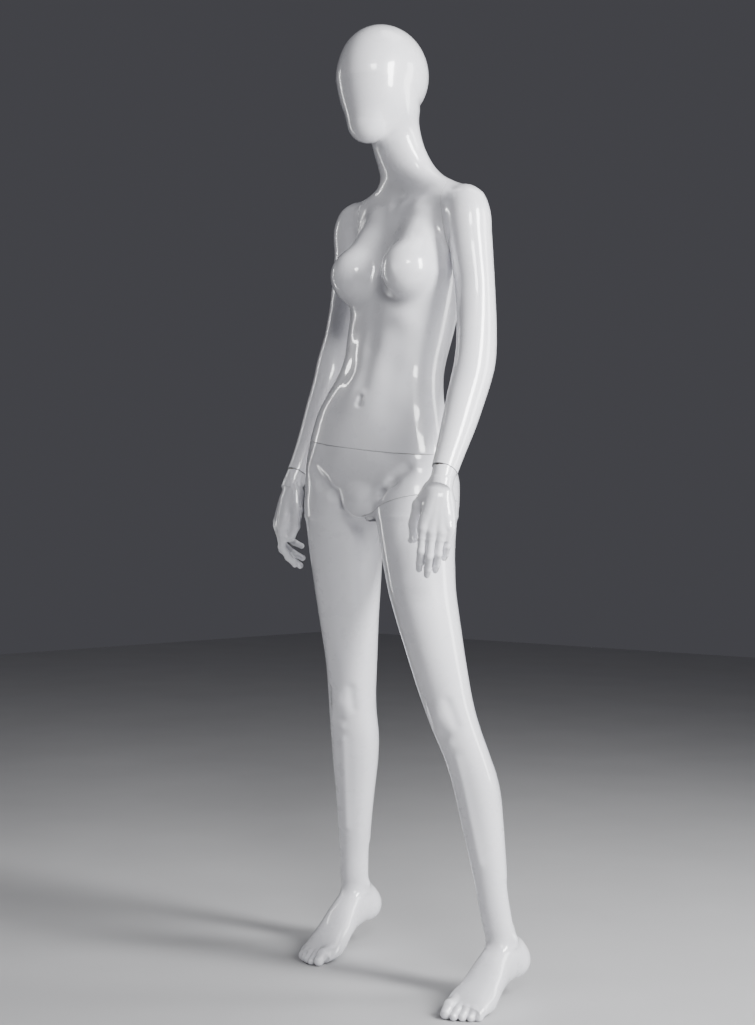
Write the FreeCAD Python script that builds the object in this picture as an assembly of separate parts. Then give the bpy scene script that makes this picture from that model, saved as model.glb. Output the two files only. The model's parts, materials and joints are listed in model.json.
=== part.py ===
import FreeCAD, Part
import math
import os

# Full body female display mannequin, 1.80 m tall, in hollow moulded fibreglass.
# Millimetres. +Z is up, the figure faces -Y and its left side is +X.
# The tables are laid out about the pelvis axis (x = y = 0) with the floor at z = 0.
# Every piece is moved by ORIGIN_SHIFT at the end, which puts the part's origin
# at the middle of its footprint on the floor.

V = FreeCAD.Vector

# ---------------------------------------------------------------- driving dimensions
ORIGIN_SHIFT = V(11, -72, 0)     # pelvis-axis frame to part frame
WALL = 4.0                       # fibreglass wall
SEAM_GAP = 0.4                   # gap between two shells at a parting seam
POINTS = 16                      # points on one body section
BIG = 2000.0                     # side of a cutting block

BOARD = 12.0                     # thickness of the boards bonded into the openings
BOND = 1.5                       # bonding paste between a board's edge and the shell
PLATE = 3.0                      # thickness of the steel lock plates and stud flanges
SCREW_R = 1.6
SCREW_LENGTH = 11.0
SCREW_HEAD_R = 3.0
SCREW_HEAD = 1.6

SPIGOT_R = 16.0                  # waist spigot
SPIGOT_BORE_R = 10.0
SPIGOT_HEIGHT = 55.0
SPIGOT_FLANGE_R = 42.0
SOCKET_CLEARANCE = 0.1           # radial, spigot in its socket
SOCKET_WALL = 3.0
LOCATING_PIN_R = 4.0
LOCATING_PIN_OFFSET = 58.0       # from the spigot axis
LOCATING_PIN_HEIGHT = 10.0

SHANK_CLEARANCE = 0.08           # radial, lock stud shank in its plate
TEE_GAP = 0.25                   # between the stud's tee and the back of the plate
# lock sizes: plate radius, shank radius, tee half length, tee half width, tee thickness
SHOULDER_LOCK = (23.0, 6.0, 14.0, 5.5, 5.0)
WRIST_LOCK = (12.5, 3.0, 7.5, 2.8, 3.0)
LEG_LOCK = (38.0, 8.0, 20.0, 7.5, 6.0)

ROD_BORE_R = 6.5                 # base rod socket in the fixed leg
ROD_SOCKET_R = 9.5
ROD_SOCKET_LENGTH = 80.0
ROD_FORWARD = 22.0               # socket axis, ahead of the heel point
ROD_SOCKET_START = 4.0           # the tube is set this far up inside the sole
SET_SCREW_R = 3.0
SET_SCREW_LENGTH = 10.0
SET_SCREW_LEVEL = 34.0
SET_SCREW_HEX_R = 1.7

# ---------------------------------------------------------------- parting planes
WAIST_POINT = V(0, 14, 1018)
WAIST_NORMAL = V(0.133, -0.103, 0.986)
LEFT_SHOULDER_POINT = V(126, 80, 1440)
LEFT_SHOULDER_NORMAL = V(0.996, 0.0, 0.087)
RIGHT_SHOULDER_POINT = V(-100, 99, 1446)
RIGHT_SHOULDER_NORMAL = V(-0.996, 0.0, 0.087)
LEG_POINT = V(88, 18, 899)
LEG_NORMAL = V(-0.30, 0.16, 0.94)      # points up into the pelvis
ARM_ZONE_FLOOR = 1340.0                # the shoulder seams lie above this height
ARM_ZONE_SIDE = 150.0                  # the arms hang outside this half width below it
BULKHEAD_R = 58.0                      # reach of a shoulder board from its lock's axis
WAIST_ZONE_TOP = 1100.0                # the pelvis lies below this height
LEG_CUT_SIDE = 2.0                     # the left leg lies wholly on this side of the crotch

# ---------------------------------------------------------------- body sections
# height, centre x, centre y, half width, depth to the front, depth to the back,
# roundness (2 is an ellipse, more is squarer), turn in degrees
TRUNK = (
    (886, 2, 14, 96, 40, 72, 2.2, 8),
    (902, 2, 10, 150, 63, 100, 2.3, 8),
    (926, 2, 8, 156, 68, 104, 2.3, 8),
    (962, 1, 8, 156, 72, 103, 2.25, 8),
    (999, 0, 10, 152, 73, 95, 2.25, 8),
    (1031, -2, 14, 145, 72, 88, 2.25, 8),
    (1065, -4, 19, 137, 71, 80, 2.25, 8),
    (1093, -4, 24, 130, 71, 73, 2.2, 7),
    (1120, -1, 32, 120, 71, 70, 2.2, 6),
    (1147, 4, 41, 109, 71, 70, 2.2, 4),
    (1173, 7, 49, 105, 72, 71, 2.2, 2),
    (1228, 9, 64, 110, 74, 77, 2.2, 0),
    (1280, 11, 71, 116, 77, 82, 2.2, -2),
    (1330, 12, 77, 119, 78, 84, 2.3, -3),
    (1385, 13, 85, 114, 72, 78, 2.4, -4),
    (1420, 14, 90, 122, 63, 71, 2.4, -4),
    (1450, 14, 92, 140, 52, 60, 2.4, -4),
    (1472, 14, 93, 140, 42, 50, 2.3, -4),
    (1486, 16, 93, 136, 38, 42, 2.1, -4),
    (1500, 20, 91, 108, 40, 44, 2.0, -4),
    (1514, 24, 85, 70, 43, 48, 2.0, -3),
    (1538, 16, 72, 54, 47, 50, 2.0, -2),
    (1578, 14, 50, 47, 48, 49, 2.0, 0),
    (1612, 14, 34, 48, 42, 54, 2.0, 0),
)
HEAD = (
    (1580, 13, -37, 23, 23, 36, 2.0, 0),
    (1601, 13, -35, 34, 33, 58, 2.0, 0),
    (1622, 13, -18, 46, 55, 82, 2.0, 0),
    (1652, 13, 0, 62, 80, 92, 2.0, 0),
    (1680, 13, 10, 72, 93, 95, 2.1, 0),
    (1710, 13, 12, 74, 94, 96, 2.0, 0),
    (1740, 13, 12, 71, 88, 91, 2.0, 0),
    (1768, 13, 12, 58, 70, 74, 2.0, 0),
    (1787, 13, 12, 38, 45, 49, 2.0, 0),
    (1796, 13, 12, 16, 18, 20, 2.0, 0),
)
LEFT_LEG = (
    (955, 84, 20, 70, 72, 84, 2.1, 8),
    (905, 88, 18, 75, 79, 86, 2.1, 8),
    (880, 92, 14, 72, 76, 80, 2.0, 8),
    (820, 100, 10, 66, 69, 70, 2.0, 8),
    (750, 111, 9, 61, 63, 62, 2.0, 8),
    (690, 123, 15, 57, 59, 57, 2.0, 8),
    (630, 134, 23, 52, 54, 52, 2.0, 8),
    (580, 143, 31, 48, 49, 46, 2.1, 8),
    (540, 150, 38, 45, 44, 46, 2.1, 8),
    (500, 158, 48, 44, 42, 47, 2.0, 8),
    (450, 170, 64, 42, 39, 48, 2.0, 8),
    (400, 178, 78, 42, 38, 47, 2.0, 8),
    (340, 183, 89, 40, 37, 43, 2.0, 8),
    (270, 188, 100, 34, 34, 37, 2.0, 8),
    (200, 193, 109, 29, 29, 32, 2.0, 8),
    (140, 199, 119, 30, 29, 33, 2.0, 8),
    (104, 202, 125, 27, 26, 28, 2.0, 8),
)
RIGHT_LEG = (
    (955, -80, 8, 72, 72, 84, 2.1, 8),
    (905, -88, 12, 75, 79, 86, 2.1, 8),
    (880, -96, 20, 72, 76, 84, 2.0, 8),
    (820, -111, 40, 69, 70, 74, 2.0, 8),
    (750, -127, 61, 63, 64, 66, 2.0, 8),
    (690, -141, 80, 57, 58, 59, 2.0, 8),
    (630, -154, 99, 52, 53, 52, 2.0, 8),
    (580, -165, 113, 48, 50, 48, 2.1, 8),
    (540, -175, 123, 46, 46, 48, 2.1, 8),
    (500, -185, 134, 46, 44, 52, 2.0, 8),
    (450, -195, 150, 48, 42, 55, 2.0, 8),
    (400, -207, 164, 46, 40, 52, 2.0, 8),
    (340, -222, 180, 40, 37, 44, 2.0, 8),
    (270, -240, 198, 34, 33, 37, 2.0, 8),
    (200, -256, 215, 30, 30, 33, 2.0, 8),
    (150, -262, 221, 31, 29, 34, 2.0, 8),
    (118, -264, 226, 27, 26, 28, 2.0, 8),
)
# the back of a foot from the heel: distance, half width, underside as a share of the
# heel's lift, thickness above the underside
HIND_FOOT = (
    (-28, 12, 1.50, 16),
    (-22, 22, 1.25, 47),
    (0, 29, 1.00, 79),
    (28, 29, 0.95, 90),
    (60, 30, 0.80, 88),
    (95, 34, 0.45, 80),
    (118, 38, 0.12, 72),
)
# the tread of a foot, flat on the floor: distance, half width, underside, top
FORE_FOOT = (
    (132, 41, 0, 66),
    (150, 42, 0, 56),
    (172, 42, 0, 40),
    (192, 37, 0, 27),
    (205, 26, 3, 19),
    (209, 16, 5, 15),
)
# heel point x, y, direction in degrees from -Y towards +X, height of the heel's underside
LEFT_FOOT = (198, 166, 9.0, 36.0)
RIGHT_FOOT = (-267, 262, 7.6, 52.0)

# an arm from the shoulder down: x, y, z, half width, half depth
LEFT_ARM = (
    (155, 82, 1491, 12, 14),
    (158, 81, 1480, 27, 29),
    (162, 79, 1455, 40, 42),
    (170, 75, 1414, 42, 43),
    (177, 67, 1366, 40, 42),
    (188, 61, 1305, 36, 40),
    (200, 55, 1241, 34, 39),
    (209, 46, 1190, 33, 39),
    (214, 33, 1152, 35, 38),
    (219, 10, 1109, 33, 36),
    (229, -29, 1041, 28, 31),
    (235, -61, 989, 23, 27),
    (238, -78, 960, 21, 27),
)
RIGHT_ARM = (
    (-127, 101, 1491, 12, 14),
    (-130, 101, 1480, 27, 29),
    (-134, 101, 1455, 40, 42),
    (-145, 105, 1416, 42, 43),
    (-158, 110, 1359, 40, 42),
    (-170, 111, 1300, 36, 40),
    (-183, 108, 1241, 34, 39),
    (-197, 102, 1191, 34, 39),
    (-200, 92, 1157, 35, 38),
    (-203, 79, 1117, 33, 36),
    (-212, 57, 1048, 28, 31),
    (-219, 34, 992, 23, 27),
    (-223, 17, 962, 21, 27),
)
WRIST_BACK_OFF = 8.0             # the wrist seam lies this far short of the arm's last point

# a bust form: centre and radius
BUST = ((-53, 14, 1333), (80, 7, 1333))
BUST_R = 50.0

# the wrist from its seam, along the forearm: distance, half width, half depth
WRIST = (
    (-14, 22.5, 27),
    (8, 21.5, 25),
)
WRIST_JOINT = 24.0               # from the seam to the wrist joint
# a palm in the hand's own frame, from the wrist joint: distance, half width across
# towards the thumb, half depth, rise out of its back
PALM = (
    (10, 26, 16, 0),
    (32, 31, 15, 1),
    (60, 36, 14, 1),
    (82, 37, 12, 0),
    (94, 34, 9, -1),
)
# finger roots and lengths: along, across, out, total length, root radius, tip radius
FINGERS = (
    (86, 26, 0, 82, 8.6, 6.4),
    (90, 9, 1, 90, 8.9, 6.5),
    (87, -8, 1, 85, 8.6, 6.2),
    (80, -25, -1, 68, 7.7, 5.7),
)
FINGER_SHARES = (0.46, 0.30, 0.24)      # share of a finger's length in each of its bones
# each hand: direction along it, direction out of its back, side of the thumb, bends at
# the three knuckles of each finger, points of the thumb
LEFT_HAND = (
    (0.03, -0.18, -0.98), (0.68, -0.73, 0.0), 1,
    ((10, 22, 16), (12, 26, 18), (14, 28, 18), (16, 30, 18)),
    ((14, 18, -8), (42, 35, -19), (74, 40, -26), (100, 38, -29)),
)
RIGHT_HAND = (
    (-0.22, -0.20, -0.95), (-0.53, -0.85, 0.0), -1,
    ((16, 34, 12), (26, 34, 12), (34, 34, 12), (46, 24, 12)),
    ((14, 18, -8), (44, 32, -16), (76, 34, -22), (100, 30, -22)),
)
THUMB_R = (12.5, 10.4, 8.8, 6.8)


# ---------------------------------------------------------------- general helpers
def unit(v):
    """The vector at length 1."""
    n = V(v)
    n.normalize()
    return n


def spline_wire(points):
    """A closed smooth curve through the points."""
    curve = Part.BSplineCurve()
    count = len(points)
    curve.interpolate(
        Points=points,
        PeriodicFlag=True,
        Parameters=[i / count for i in range(count + 1)],
    )
    return Part.Wire([curve.toShape()])


def signed_power(value, power):
    return math.copysign(abs(value) ** power, value)


def flat_section(row, inset):
    """One horizontal body section, drawn in by inset."""
    z, cx, cy, half, front, back, roundness, turn = row
    power = 2.0 / roundness
    co = math.cos(math.radians(turn))
    si = math.sin(math.radians(turn))
    points = []
    for i in range(POINTS):
        t = 2 * math.pi * i / POINTS
        x = (half - inset) * signed_power(math.cos(t), power)
        depth = back if math.sin(t) > 0 else front
        y = (depth - inset) * signed_power(math.sin(t), power)
        points.append(V(cx + x * co - y * si, cy + x * si + y * co, z))
    return spline_wire(points)


def loft(wires):
    """A closed solid with straight walls from each wire to the next."""
    solid = Part.makeLoft(wires, True, True)
    if solid.Volume < 0:
        solid.reverse()
    return solid


def flat_loft(rows, inset=0.0):
    """A solid through level sections; an inset one also stops short at both ends."""
    rows = list(rows)
    upwards = 1 if rows[-1][0] > rows[0][0] else -1
    rows[0] = (rows[0][0] + upwards * inset,) + rows[0][1:]
    rows[-1] = (rows[-1][0] - upwards * inset,) + rows[-1][1:]
    return loft([flat_section(row, inset) for row in rows])


def path_frames(rows):
    """Direction, side and depth vectors at each point of a limb's path."""
    frames = []
    last = len(rows) - 1
    for i in range(len(rows)):
        before = V(*rows[max(i - 1, 0)][:3])
        after = V(*rows[min(i + 1, last)][:3])
        direction = unit(after - before)
        side = unit(V(1, 0, 0) - direction * direction.x)
        frames.append((direction, side, direction.cross(side)))
    return frames


def limb_loft(rows, inset=0.0):
    """A limb through ellipses square to its path."""
    frames = path_frames(rows)
    ends = {0: frames[0][0] * inset, len(rows) - 1: frames[-1][0] * -inset}
    wires = []
    for index, (x, y, z, half, depth) in enumerate(rows):
        side, deep = frames[index][1:]
        centre = V(x, y, z) + ends.get(index, V(0, 0, 0))
        points = []
        for i in range(POINTS):
            t = 2 * math.pi * i / POINTS
            offset = side * ((half - inset) * math.cos(t)) + deep * ((depth - inset) * math.sin(t))
            points.append(centre + offset)
        wires.append(spline_wire(points))
    return loft(wires)


def half_space(point, normal):
    """A large block on the side of the plane that the normal points to."""
    block = Part.makeBox(BIG, BIG, BIG, V(-BIG / 2, -BIG / 2, 0))
    block.Placement = FreeCAD.Placement(point, FreeCAD.Rotation(V(0, 0, 1), normal))
    return block


def slab(point, normal, near, far):
    """A large slab between two distances along the normal."""
    block = Part.makeBox(BIG, BIG, far - near, V(-BIG / 2, -BIG / 2, near))
    block.Placement = FreeCAD.Placement(point, FreeCAD.Rotation(V(0, 0, 1), normal))
    return block


def placed(shape, point, normal):
    """A shape drawn about +Z, set at the point with +Z along the normal."""
    moved = shape.copy()
    moved.Placement = FreeCAD.Placement(point, FreeCAD.Rotation(V(0, 0, 1), normal))
    return moved


def one_solid(shape):
    """The largest solid of a shape, as a plain solid."""
    solids = sorted(shape.Solids, key=lambda s: s.Volume)
    return solids[-1]


def capsule_chain(points, radii):
    """Cones joined by balls, for a finger."""
    chain = Part.makeSphere(radii[0], points[0])
    for i in range(len(points) - 1):
        run = points[i + 1] - points[i]
        cone = Part.makeCone(radii[i], radii[i + 1] - 0.01, run.Length, points[i], run)
        ball = Part.makeSphere(radii[i + 1], points[i + 1])
        chain = chain.fuse([cone, ball])
    return chain


PARTS = {}


def add(name, shape):
    """Keep a finished piece, moved to the part's own origin."""
    piece = shape.copy()
    piece.translate(ORIGIN_SHIFT)
    PARTS[name] = piece


# ---------------------------------------------------------------- lock fittings
def screw_ring(radius, count, start):
    """Screws about +Z whose heads lie flush at z = 0 and whose shanks run down."""
    screws = []
    for i in range(count):
        a = math.radians(start + 360.0 * i / count)
        spot = V(radius * math.cos(a), radius * math.sin(a), 0)
        head = Part.makeCylinder(SCREW_HEAD_R, SCREW_HEAD, spot - V(0, 0, SCREW_HEAD))
        shank = Part.makeCylinder(SCREW_R, SCREW_LENGTH, spot - V(0, 0, SCREW_LENGTH))
        slot = Part.makeBox(2 * SCREW_HEAD_R, 0.8, 0.7, spot - V(SCREW_HEAD_R, 0.4, 0.7))
        screws.append(head.fuse(shank).cut(slot))
    return screws


def lock_plate(lock, face):
    """The keyed plate that takes a lock stud; its face lies at z = face."""
    plate_r, shank_r, tee_half, tee_wide, tee_thick = lock
    plate = Part.makeCylinder(plate_r, PLATE, V(0, 0, face - PLATE))
    hole = Part.makeCylinder(shank_r + SHANK_CLEARANCE, PLATE, V(0, 0, face - PLATE))
    key = Part.makeBox(
        2 * (tee_half + 0.6), 2 * (tee_wide + 0.6), PLATE,
        V(-tee_half - 0.6, -tee_wide - 0.6, face - PLATE),
    )
    lobes = key.common(Part.makeCylinder(tee_half + 0.6, PLATE, V(0, 0, face - PLATE)))
    return plate.cut(lobes).cut(hole)


def lock_stud(lock, face):
    """A flange, shank and tee; the flange's face lies at z = face and the tee is below."""
    plate_r, shank_r, tee_half, tee_wide, tee_thick = lock
    tee_top = -face - PLATE - TEE_GAP
    flange = Part.makeCylinder(plate_r * 0.92, PLATE, V(0, 0, face))
    shank = Part.makeCylinder(shank_r, face - tee_top + tee_thick, V(0, 0, tee_top - tee_thick))
    bar = Part.makeBox(
        2 * tee_wide, 2 * tee_half, tee_thick, V(-tee_wide, -tee_half, tee_top - tee_thick)
    )
    tee = bar.common(Part.makeCylinder(tee_half, tee_thick, V(0, 0, tee_top - tee_thick)))
    return flange.fuse([shank, tee]).removeSplitter()


def move_by(shape, offset):
    moved = shape.copy()
    moved.translate(offset)
    return moved


def turn_over(shape):
    """The shape turned upside down about the X axis."""
    turned = shape.copy()
    turned.rotate(V(0, 0, 0), V(1, 0, 0), 180)
    return turned


def fit_lock(names, lock, point, normal, fixed_core, moving_core, screws):
    """Both halves of one lock at a seam.

    The normal points from the fixed side to the moving side. The cores are the hollow
    insides that the two boards close. A solid hand needs no board: it is its own seat.
    """
    plate_r, shank_r, tee_half, tee_wide, tee_thick = lock
    face = SEAM_GAP / 2
    flange_r = plate_r * 0.92
    ring = plate_r * 0.78
    plate_screws = [move_by(s, V(0, 0, -face)) for s in screw_ring(ring, screws, 45)]
    stud_screws = [move_by(turn_over(s), V(0, 0, face)) for s in screw_ring(ring * 0.95, screws, 45)]
    well = Part.makeCylinder(tee_half + 1.5, BOARD, V(0, 0, -BOARD - face))
    plate_seat = Part.makeCylinder(plate_r, PLATE, V(0, 0, -PLATE - face))
    flange_seat = Part.makeCylinder(flange_r, PLATE, V(0, 0, face))
    fixed_cut = placed(plate_seat.fuse([well] + plate_screws), point, normal)
    moving_cut = placed(flange_seat.fuse(stud_screws), point, normal)
    fixed_board = fixed_core.common(slab(point, normal, -BOARD - face, -face)).cut(fixed_cut)
    if "cast" in names:
        add(names["cast"], one_solid(moving_core.cut(moving_cut)))
    else:
        moving = moving_core.common(slab(point, normal, face, BOARD + face)).cut(moving_cut)
        add(names["moving_board"], one_solid(moving))
    add(names["fixed_board"], one_solid(fixed_board))
    add(names["plate"], placed(lock_plate(lock, -face).cut(plate_screws), point, normal))
    add(names["plate_screws"], placed(Part.makeCompound(plate_screws), point, normal))
    add(names["stud"], placed(lock_stud(lock, face).cut(stud_screws), point, normal))
    add(names["stud_screws"], placed(Part.makeCompound(stud_screws), point, normal))


# ---------------------------------------------------------------- hands
def hand_solid(rows, spec):
    """A relaxed hand that continues an arm; returns it with its seam point and direction."""
    heading, back_towards, thumb_side, curls, thumb = spec
    forearm = path_frames(rows)[-1][0]
    seam = V(*rows[-1][:3]) - forearm * WRIST_BACK_OFF
    level = unit(V(1, 0, 0) - forearm * forearm.x)
    deep = forearm.cross(level)
    wrist = seam + forearm * WRIST_JOINT
    along = unit(V(*heading))
    out = unit(V(*back_towards) - along * along.dot(V(*back_towards)))
    across = along.cross(out) * thumb_side

    def at(a, c, o):
        return wrist + along * a + across * c + out * o

    # each section starts on its thumb side and runs the same way round
    wires = []
    for a, half, depth in WRIST:
        points = []
        for i in range(POINTS):
            t = 2 * math.pi * i / POINTS
            way = across * math.cos(t) + out * math.sin(t)
            way = unit(way - forearm * way.dot(forearm))
            u, v = way.dot(level), way.dot(deep)
            reach = 1 / math.hypot(u / half, v / depth)
            points.append(seam + forearm * a + way * reach)
        wires.append(spline_wire(points))
    for a, half, depth, rise in PALM:
        points = []
        for i in range(POINTS):
            t = 2 * math.pi * i / POINTS
            points.append(at(a, half * math.cos(t), rise + depth * math.sin(t)))
        wires.append(spline_wire(points))
    hand = loft(wires)
    for (a, c, o, length, root_r, tip_r), bends in zip(FINGERS, curls):
        points = [at(a - 6, c, o)]
        angle = 0.0
        for share, bend in zip(FINGER_SHARES, bends):
            angle += math.radians(bend)
            a += length * share * math.cos(angle)
            o -= length * share * math.sin(angle)
            points.append(at(a, c, o))
        radii = [root_r + (tip_r - root_r) * i / 3 for i in range(4)]
        hand = hand.fuse(capsule_chain(points, radii))
    hand = hand.fuse(capsule_chain([at(*p) for p in thumb], list(THUMB_R)))
    return hand, seam, forearm


# ---------------------------------------------------------------- feet
def foot_solid(spec):
    """A raised-heel foot, from the heel to the toes."""
    hx, hy, turn, lift = spec
    a = math.radians(turn)
    forward = V(math.sin(a), -math.cos(a), 0)
    side = V(math.cos(a), math.sin(a), 0)
    rows = [(d, w, low * lift, low * lift + thick) for d, w, low, thick in HIND_FOOT]
    rows += list(FORE_FOOT)
    wires = []
    for distance, half, low, high in rows:
        centre = V(hx, hy, (low + high) / 2) + forward * distance
        points = []
        for i in range(POINTS):
            t = 2 * math.pi * i / POINTS
            x = half * signed_power(math.cos(t), 0.85)
            z = (high - low) / 2 * signed_power(math.sin(t), 0.85)
            points.append(centre + side * x + V(0, 0, z))
        wires.append(spline_wire(points))
    return loft(wires)


def rod_axis():
    """Mouth point and upward direction of the base rod socket in the fixed foot."""
    hx, hy, turn, lift = RIGHT_FOOT
    a = math.radians(turn)
    forward = V(math.sin(a), -math.cos(a), 0)
    return V(hx, hy, lift) + forward * ROD_FORWARD, V(0, 0, 1)


def socket_hole():
    mouth, up = rod_axis()
    return Part.makeCylinder(ROD_SOCKET_R, ROD_SOCKET_LENGTH + 20, mouth - up * 20, up)


def rod_fitting():
    """The steel tube cast into the heel, its set screw and the hole for the screw."""
    mouth, up = rod_axis()
    start = mouth + up * ROD_SOCKET_START
    tube = Part.makeCylinder(ROD_SOCKET_R, ROD_SOCKET_LENGTH - ROD_SOCKET_START, start, up)
    tube = tube.cut(Part.makeCylinder(ROD_BORE_R, ROD_SOCKET_LENGTH - ROD_SOCKET_START - 3, start, up))
    a = math.radians(RIGHT_FOOT[2])
    back = V(-math.sin(a), math.cos(a), 0)
    tip = mouth + up * SET_SCREW_LEVEL + back * (ROD_BORE_R + 0.3)
    screw = Part.makeCylinder(SET_SCREW_R, SET_SCREW_LENGTH, tip, back)
    hexagon = Part.makePolygon(
        [
            V(SET_SCREW_HEX_R * math.cos(k * math.pi / 3), SET_SCREW_HEX_R * math.sin(k * math.pi / 3), 0)
            for k in range(7)
        ]
    )
    recess = Part.Face(hexagon).extrude(V(0, 0, 4))
    screw = screw.cut(placed(recess, tip + back * (SET_SCREW_LENGTH - 3), back))
    hole = Part.makeCylinder(SET_SCREW_R + 0.05, 60, tip - back * 4, back)
    tube = tube.cut(hole)
    return tube, screw, hole


# ---------------------------------------------------------------- skins
def build_skins():
    """The outer body and the hollow inside it, as separate sets of solids."""
    skin = {}
    for key, inset in (("out", 0.0), ("in", WALL), ("board", WALL + BOND)):
        trunk = flat_loft(TRUNK, inset)
        head = flat_loft(HEAD, inset)
        busts = [Part.makeSphere(BUST_R - inset, V(*c)) for c in BUST]
        skin[key] = {
            "trunk": trunk,
            "upper": trunk.fuse([head] + busts),
            "left_arm": limb_loft(LEFT_ARM, inset),
            "right_arm": limb_loft(RIGHT_ARM, inset),
            "left_leg": flat_loft(LEFT_LEG, inset),
            "right_leg": flat_loft(RIGHT_LEG, inset),
        }
    return skin


def shell_between(outer, inner, *cuts):
    """The wall left when the hollow and the cutting blocks are taken from the outer body."""
    shape = outer.cut(inner)
    for block in cuts:
        shape = shape.cut(block)
    return one_solid(shape)


def build_torso(skin):
    """Head, neck and torso in one moulding."""
    outer = skin["out"]["upper"].fuse(skin["out"]["left_arm"]).fuse(skin["out"]["right_arm"])
    inner = skin["in"]["upper"].fuse(skin["in"]["left_arm"]).fuse(skin["in"]["right_arm"])
    gap = SEAM_GAP / 2
    below = half_space(WAIST_POINT + WAIST_NORMAL * gap, WAIST_NORMAL * -1)
    left = half_space(LEFT_SHOULDER_POINT - LEFT_SHOULDER_NORMAL * gap, LEFT_SHOULDER_NORMAL)
    right = half_space(RIGHT_SHOULDER_POINT - RIGHT_SHOULDER_NORMAL * gap, RIGHT_SHOULDER_NORMAL)
    arm_zone = Part.makeBox(BIG, BIG, BIG, V(-BIG / 2, -BIG / 2, ARM_ZONE_FLOOR))
    low_arms = Part.makeBox(BIG, BIG, ARM_ZONE_FLOOR, V(ARM_ZONE_SIDE, -BIG / 2, 0))
    far_arms = Part.makeBox(BIG, BIG, ARM_ZONE_FLOOR, V(-BIG - ARM_ZONE_SIDE, -BIG / 2, 0))
    add(
        "torso_shell",
        shell_between(
            outer, inner, below, left.common(arm_zone), right.common(arm_zone), low_arms, far_arms
        ),
    )


def build_arms(skin):
    """Both arms and hands with their shoulder and wrist locks."""
    sides = (
        ("left", LEFT_ARM, LEFT_SHOULDER_POINT, LEFT_SHOULDER_NORMAL, LEFT_HAND),
        ("right", RIGHT_ARM, RIGHT_SHOULDER_POINT, RIGHT_SHOULDER_NORMAL, RIGHT_HAND),
    )
    gap = SEAM_GAP / 2
    zone = Part.makeBox(BIG, BIG, BIG, V(-BIG / 2, -BIG / 2, ARM_ZONE_FLOOR))
    for side, rows, point, normal, hand_spec in sides:
        outer = skin["out"][side + "_arm"].fuse(skin["out"]["trunk"].common(zone))
        inner = skin["in"][side + "_arm"].fuse(skin["in"]["trunk"].common(zone))
        bonded = skin["board"][side + "_arm"].fuse(skin["board"]["trunk"].common(zone))
        hand, wrist, along = hand_solid(rows, hand_spec)
        past_wrist = half_space(wrist - along * gap, along)
        inboard = half_space(point + normal * gap, normal * -1)
        bulkhead = Part.makeCylinder(BULKHEAD_R, 60, point - normal * 30, normal)
        board = bonded.common(bulkhead)
        add(side + "_arm_shell", shell_between(outer, inner, inboard, past_wrist))
        fit_lock(
            {
                "fixed_board": side + "_shoulder_board",
                "plate": side + "_shoulder_lock_plate",
                "plate_screws": side + "_shoulder_plate_screws",
                "moving_board": side + "_arm_board",
                "stud": side + "_arm_lock_stud",
                "stud_screws": side + "_arm_stud_screws",
            },
            SHOULDER_LOCK, point, normal, board, board, 4,
        )
        hand = hand.common(half_space(wrist + along * gap, along))
        fit_lock(
            {
                "fixed_board": side + "_wrist_board",
                "plate": side + "_wrist_lock_plate",
                "plate_screws": side + "_wrist_plate_screws",
                "stud": side + "_hand_lock_stud",
                "stud_screws": side + "_hand_stud_screws",
                "cast": side + "_hand",
            },
            WRIST_LOCK, wrist, along, skin["board"][side + "_arm"], one_solid(hand), 2,
        )


def build_lower_body(skin):
    """Pelvis moulded in one with the right leg, the separate left leg and the leg lock."""
    gap = SEAM_GAP / 2
    low = Part.makeBox(BIG, BIG, WAIST_ZONE_TOP, V(-BIG / 2, -BIG / 2, 0))
    trunk = skin["out"]["trunk"].common(low)
    trunk_core = skin["in"]["trunk"].common(low)
    both = trunk.fuse(skin["out"]["right_leg"]).fuse(skin["out"]["left_leg"])
    core = trunk_core.fuse(skin["in"]["right_leg"]).fuse(skin["in"]["left_leg"])
    above = half_space(WAIST_POINT - WAIST_NORMAL * gap, WAIST_NORMAL)
    leg_side = Part.makeBox(BIG, BIG, BIG, V(LEG_CUT_SIDE - gap, -BIG / 2, 0))
    leg_zone = half_space(LEG_POINT + LEG_NORMAL * gap, LEG_NORMAL * -1).common(leg_side)
    right_foot = foot_solid(RIGHT_FOOT)
    socket, screw, screw_hole = rod_fitting()
    shell = shell_between(both, core, above, leg_zone)
    shell = one_solid(shell.fuse(right_foot).cut(socket_hole()).cut(screw_hole))
    add("pelvis_right_leg_shell", shell)
    add("base_rod_socket", socket)
    add("base_rod_set_screw", screw)

    other_side = Part.makeBox(BIG, BIG, BIG, V(LEG_CUT_SIDE + gap - BIG, -BIG / 2, 0))
    upper = half_space(LEG_POINT - LEG_NORMAL * gap, LEG_NORMAL)
    left = shell_between(trunk.fuse(skin["out"]["left_leg"]), core, upper, other_side)
    add("left_leg_shell", one_solid(left.fuse(foot_solid(LEFT_FOOT))))
    own_side = Part.makeBox(BIG, BIG, BIG, V(LEG_CUT_SIDE + WALL, -BIG / 2, 0))
    bonded = skin["board"]["trunk"].common(low)
    left_core = bonded.fuse(skin["board"]["left_leg"]).common(own_side)
    fit_lock(
        {
            "fixed_board": "hip_leg_board",
            "plate": "leg_lock_plate",
            "plate_screws": "leg_plate_screws",
            "moving_board": "left_leg_board",
            "stud": "left_leg_lock_stud",
            "stud_screws": "left_leg_stud_screws",
        },
        LEG_LOCK, LEG_POINT, LEG_NORMAL * -1, left_core, left_core, 4,
    )

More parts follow.
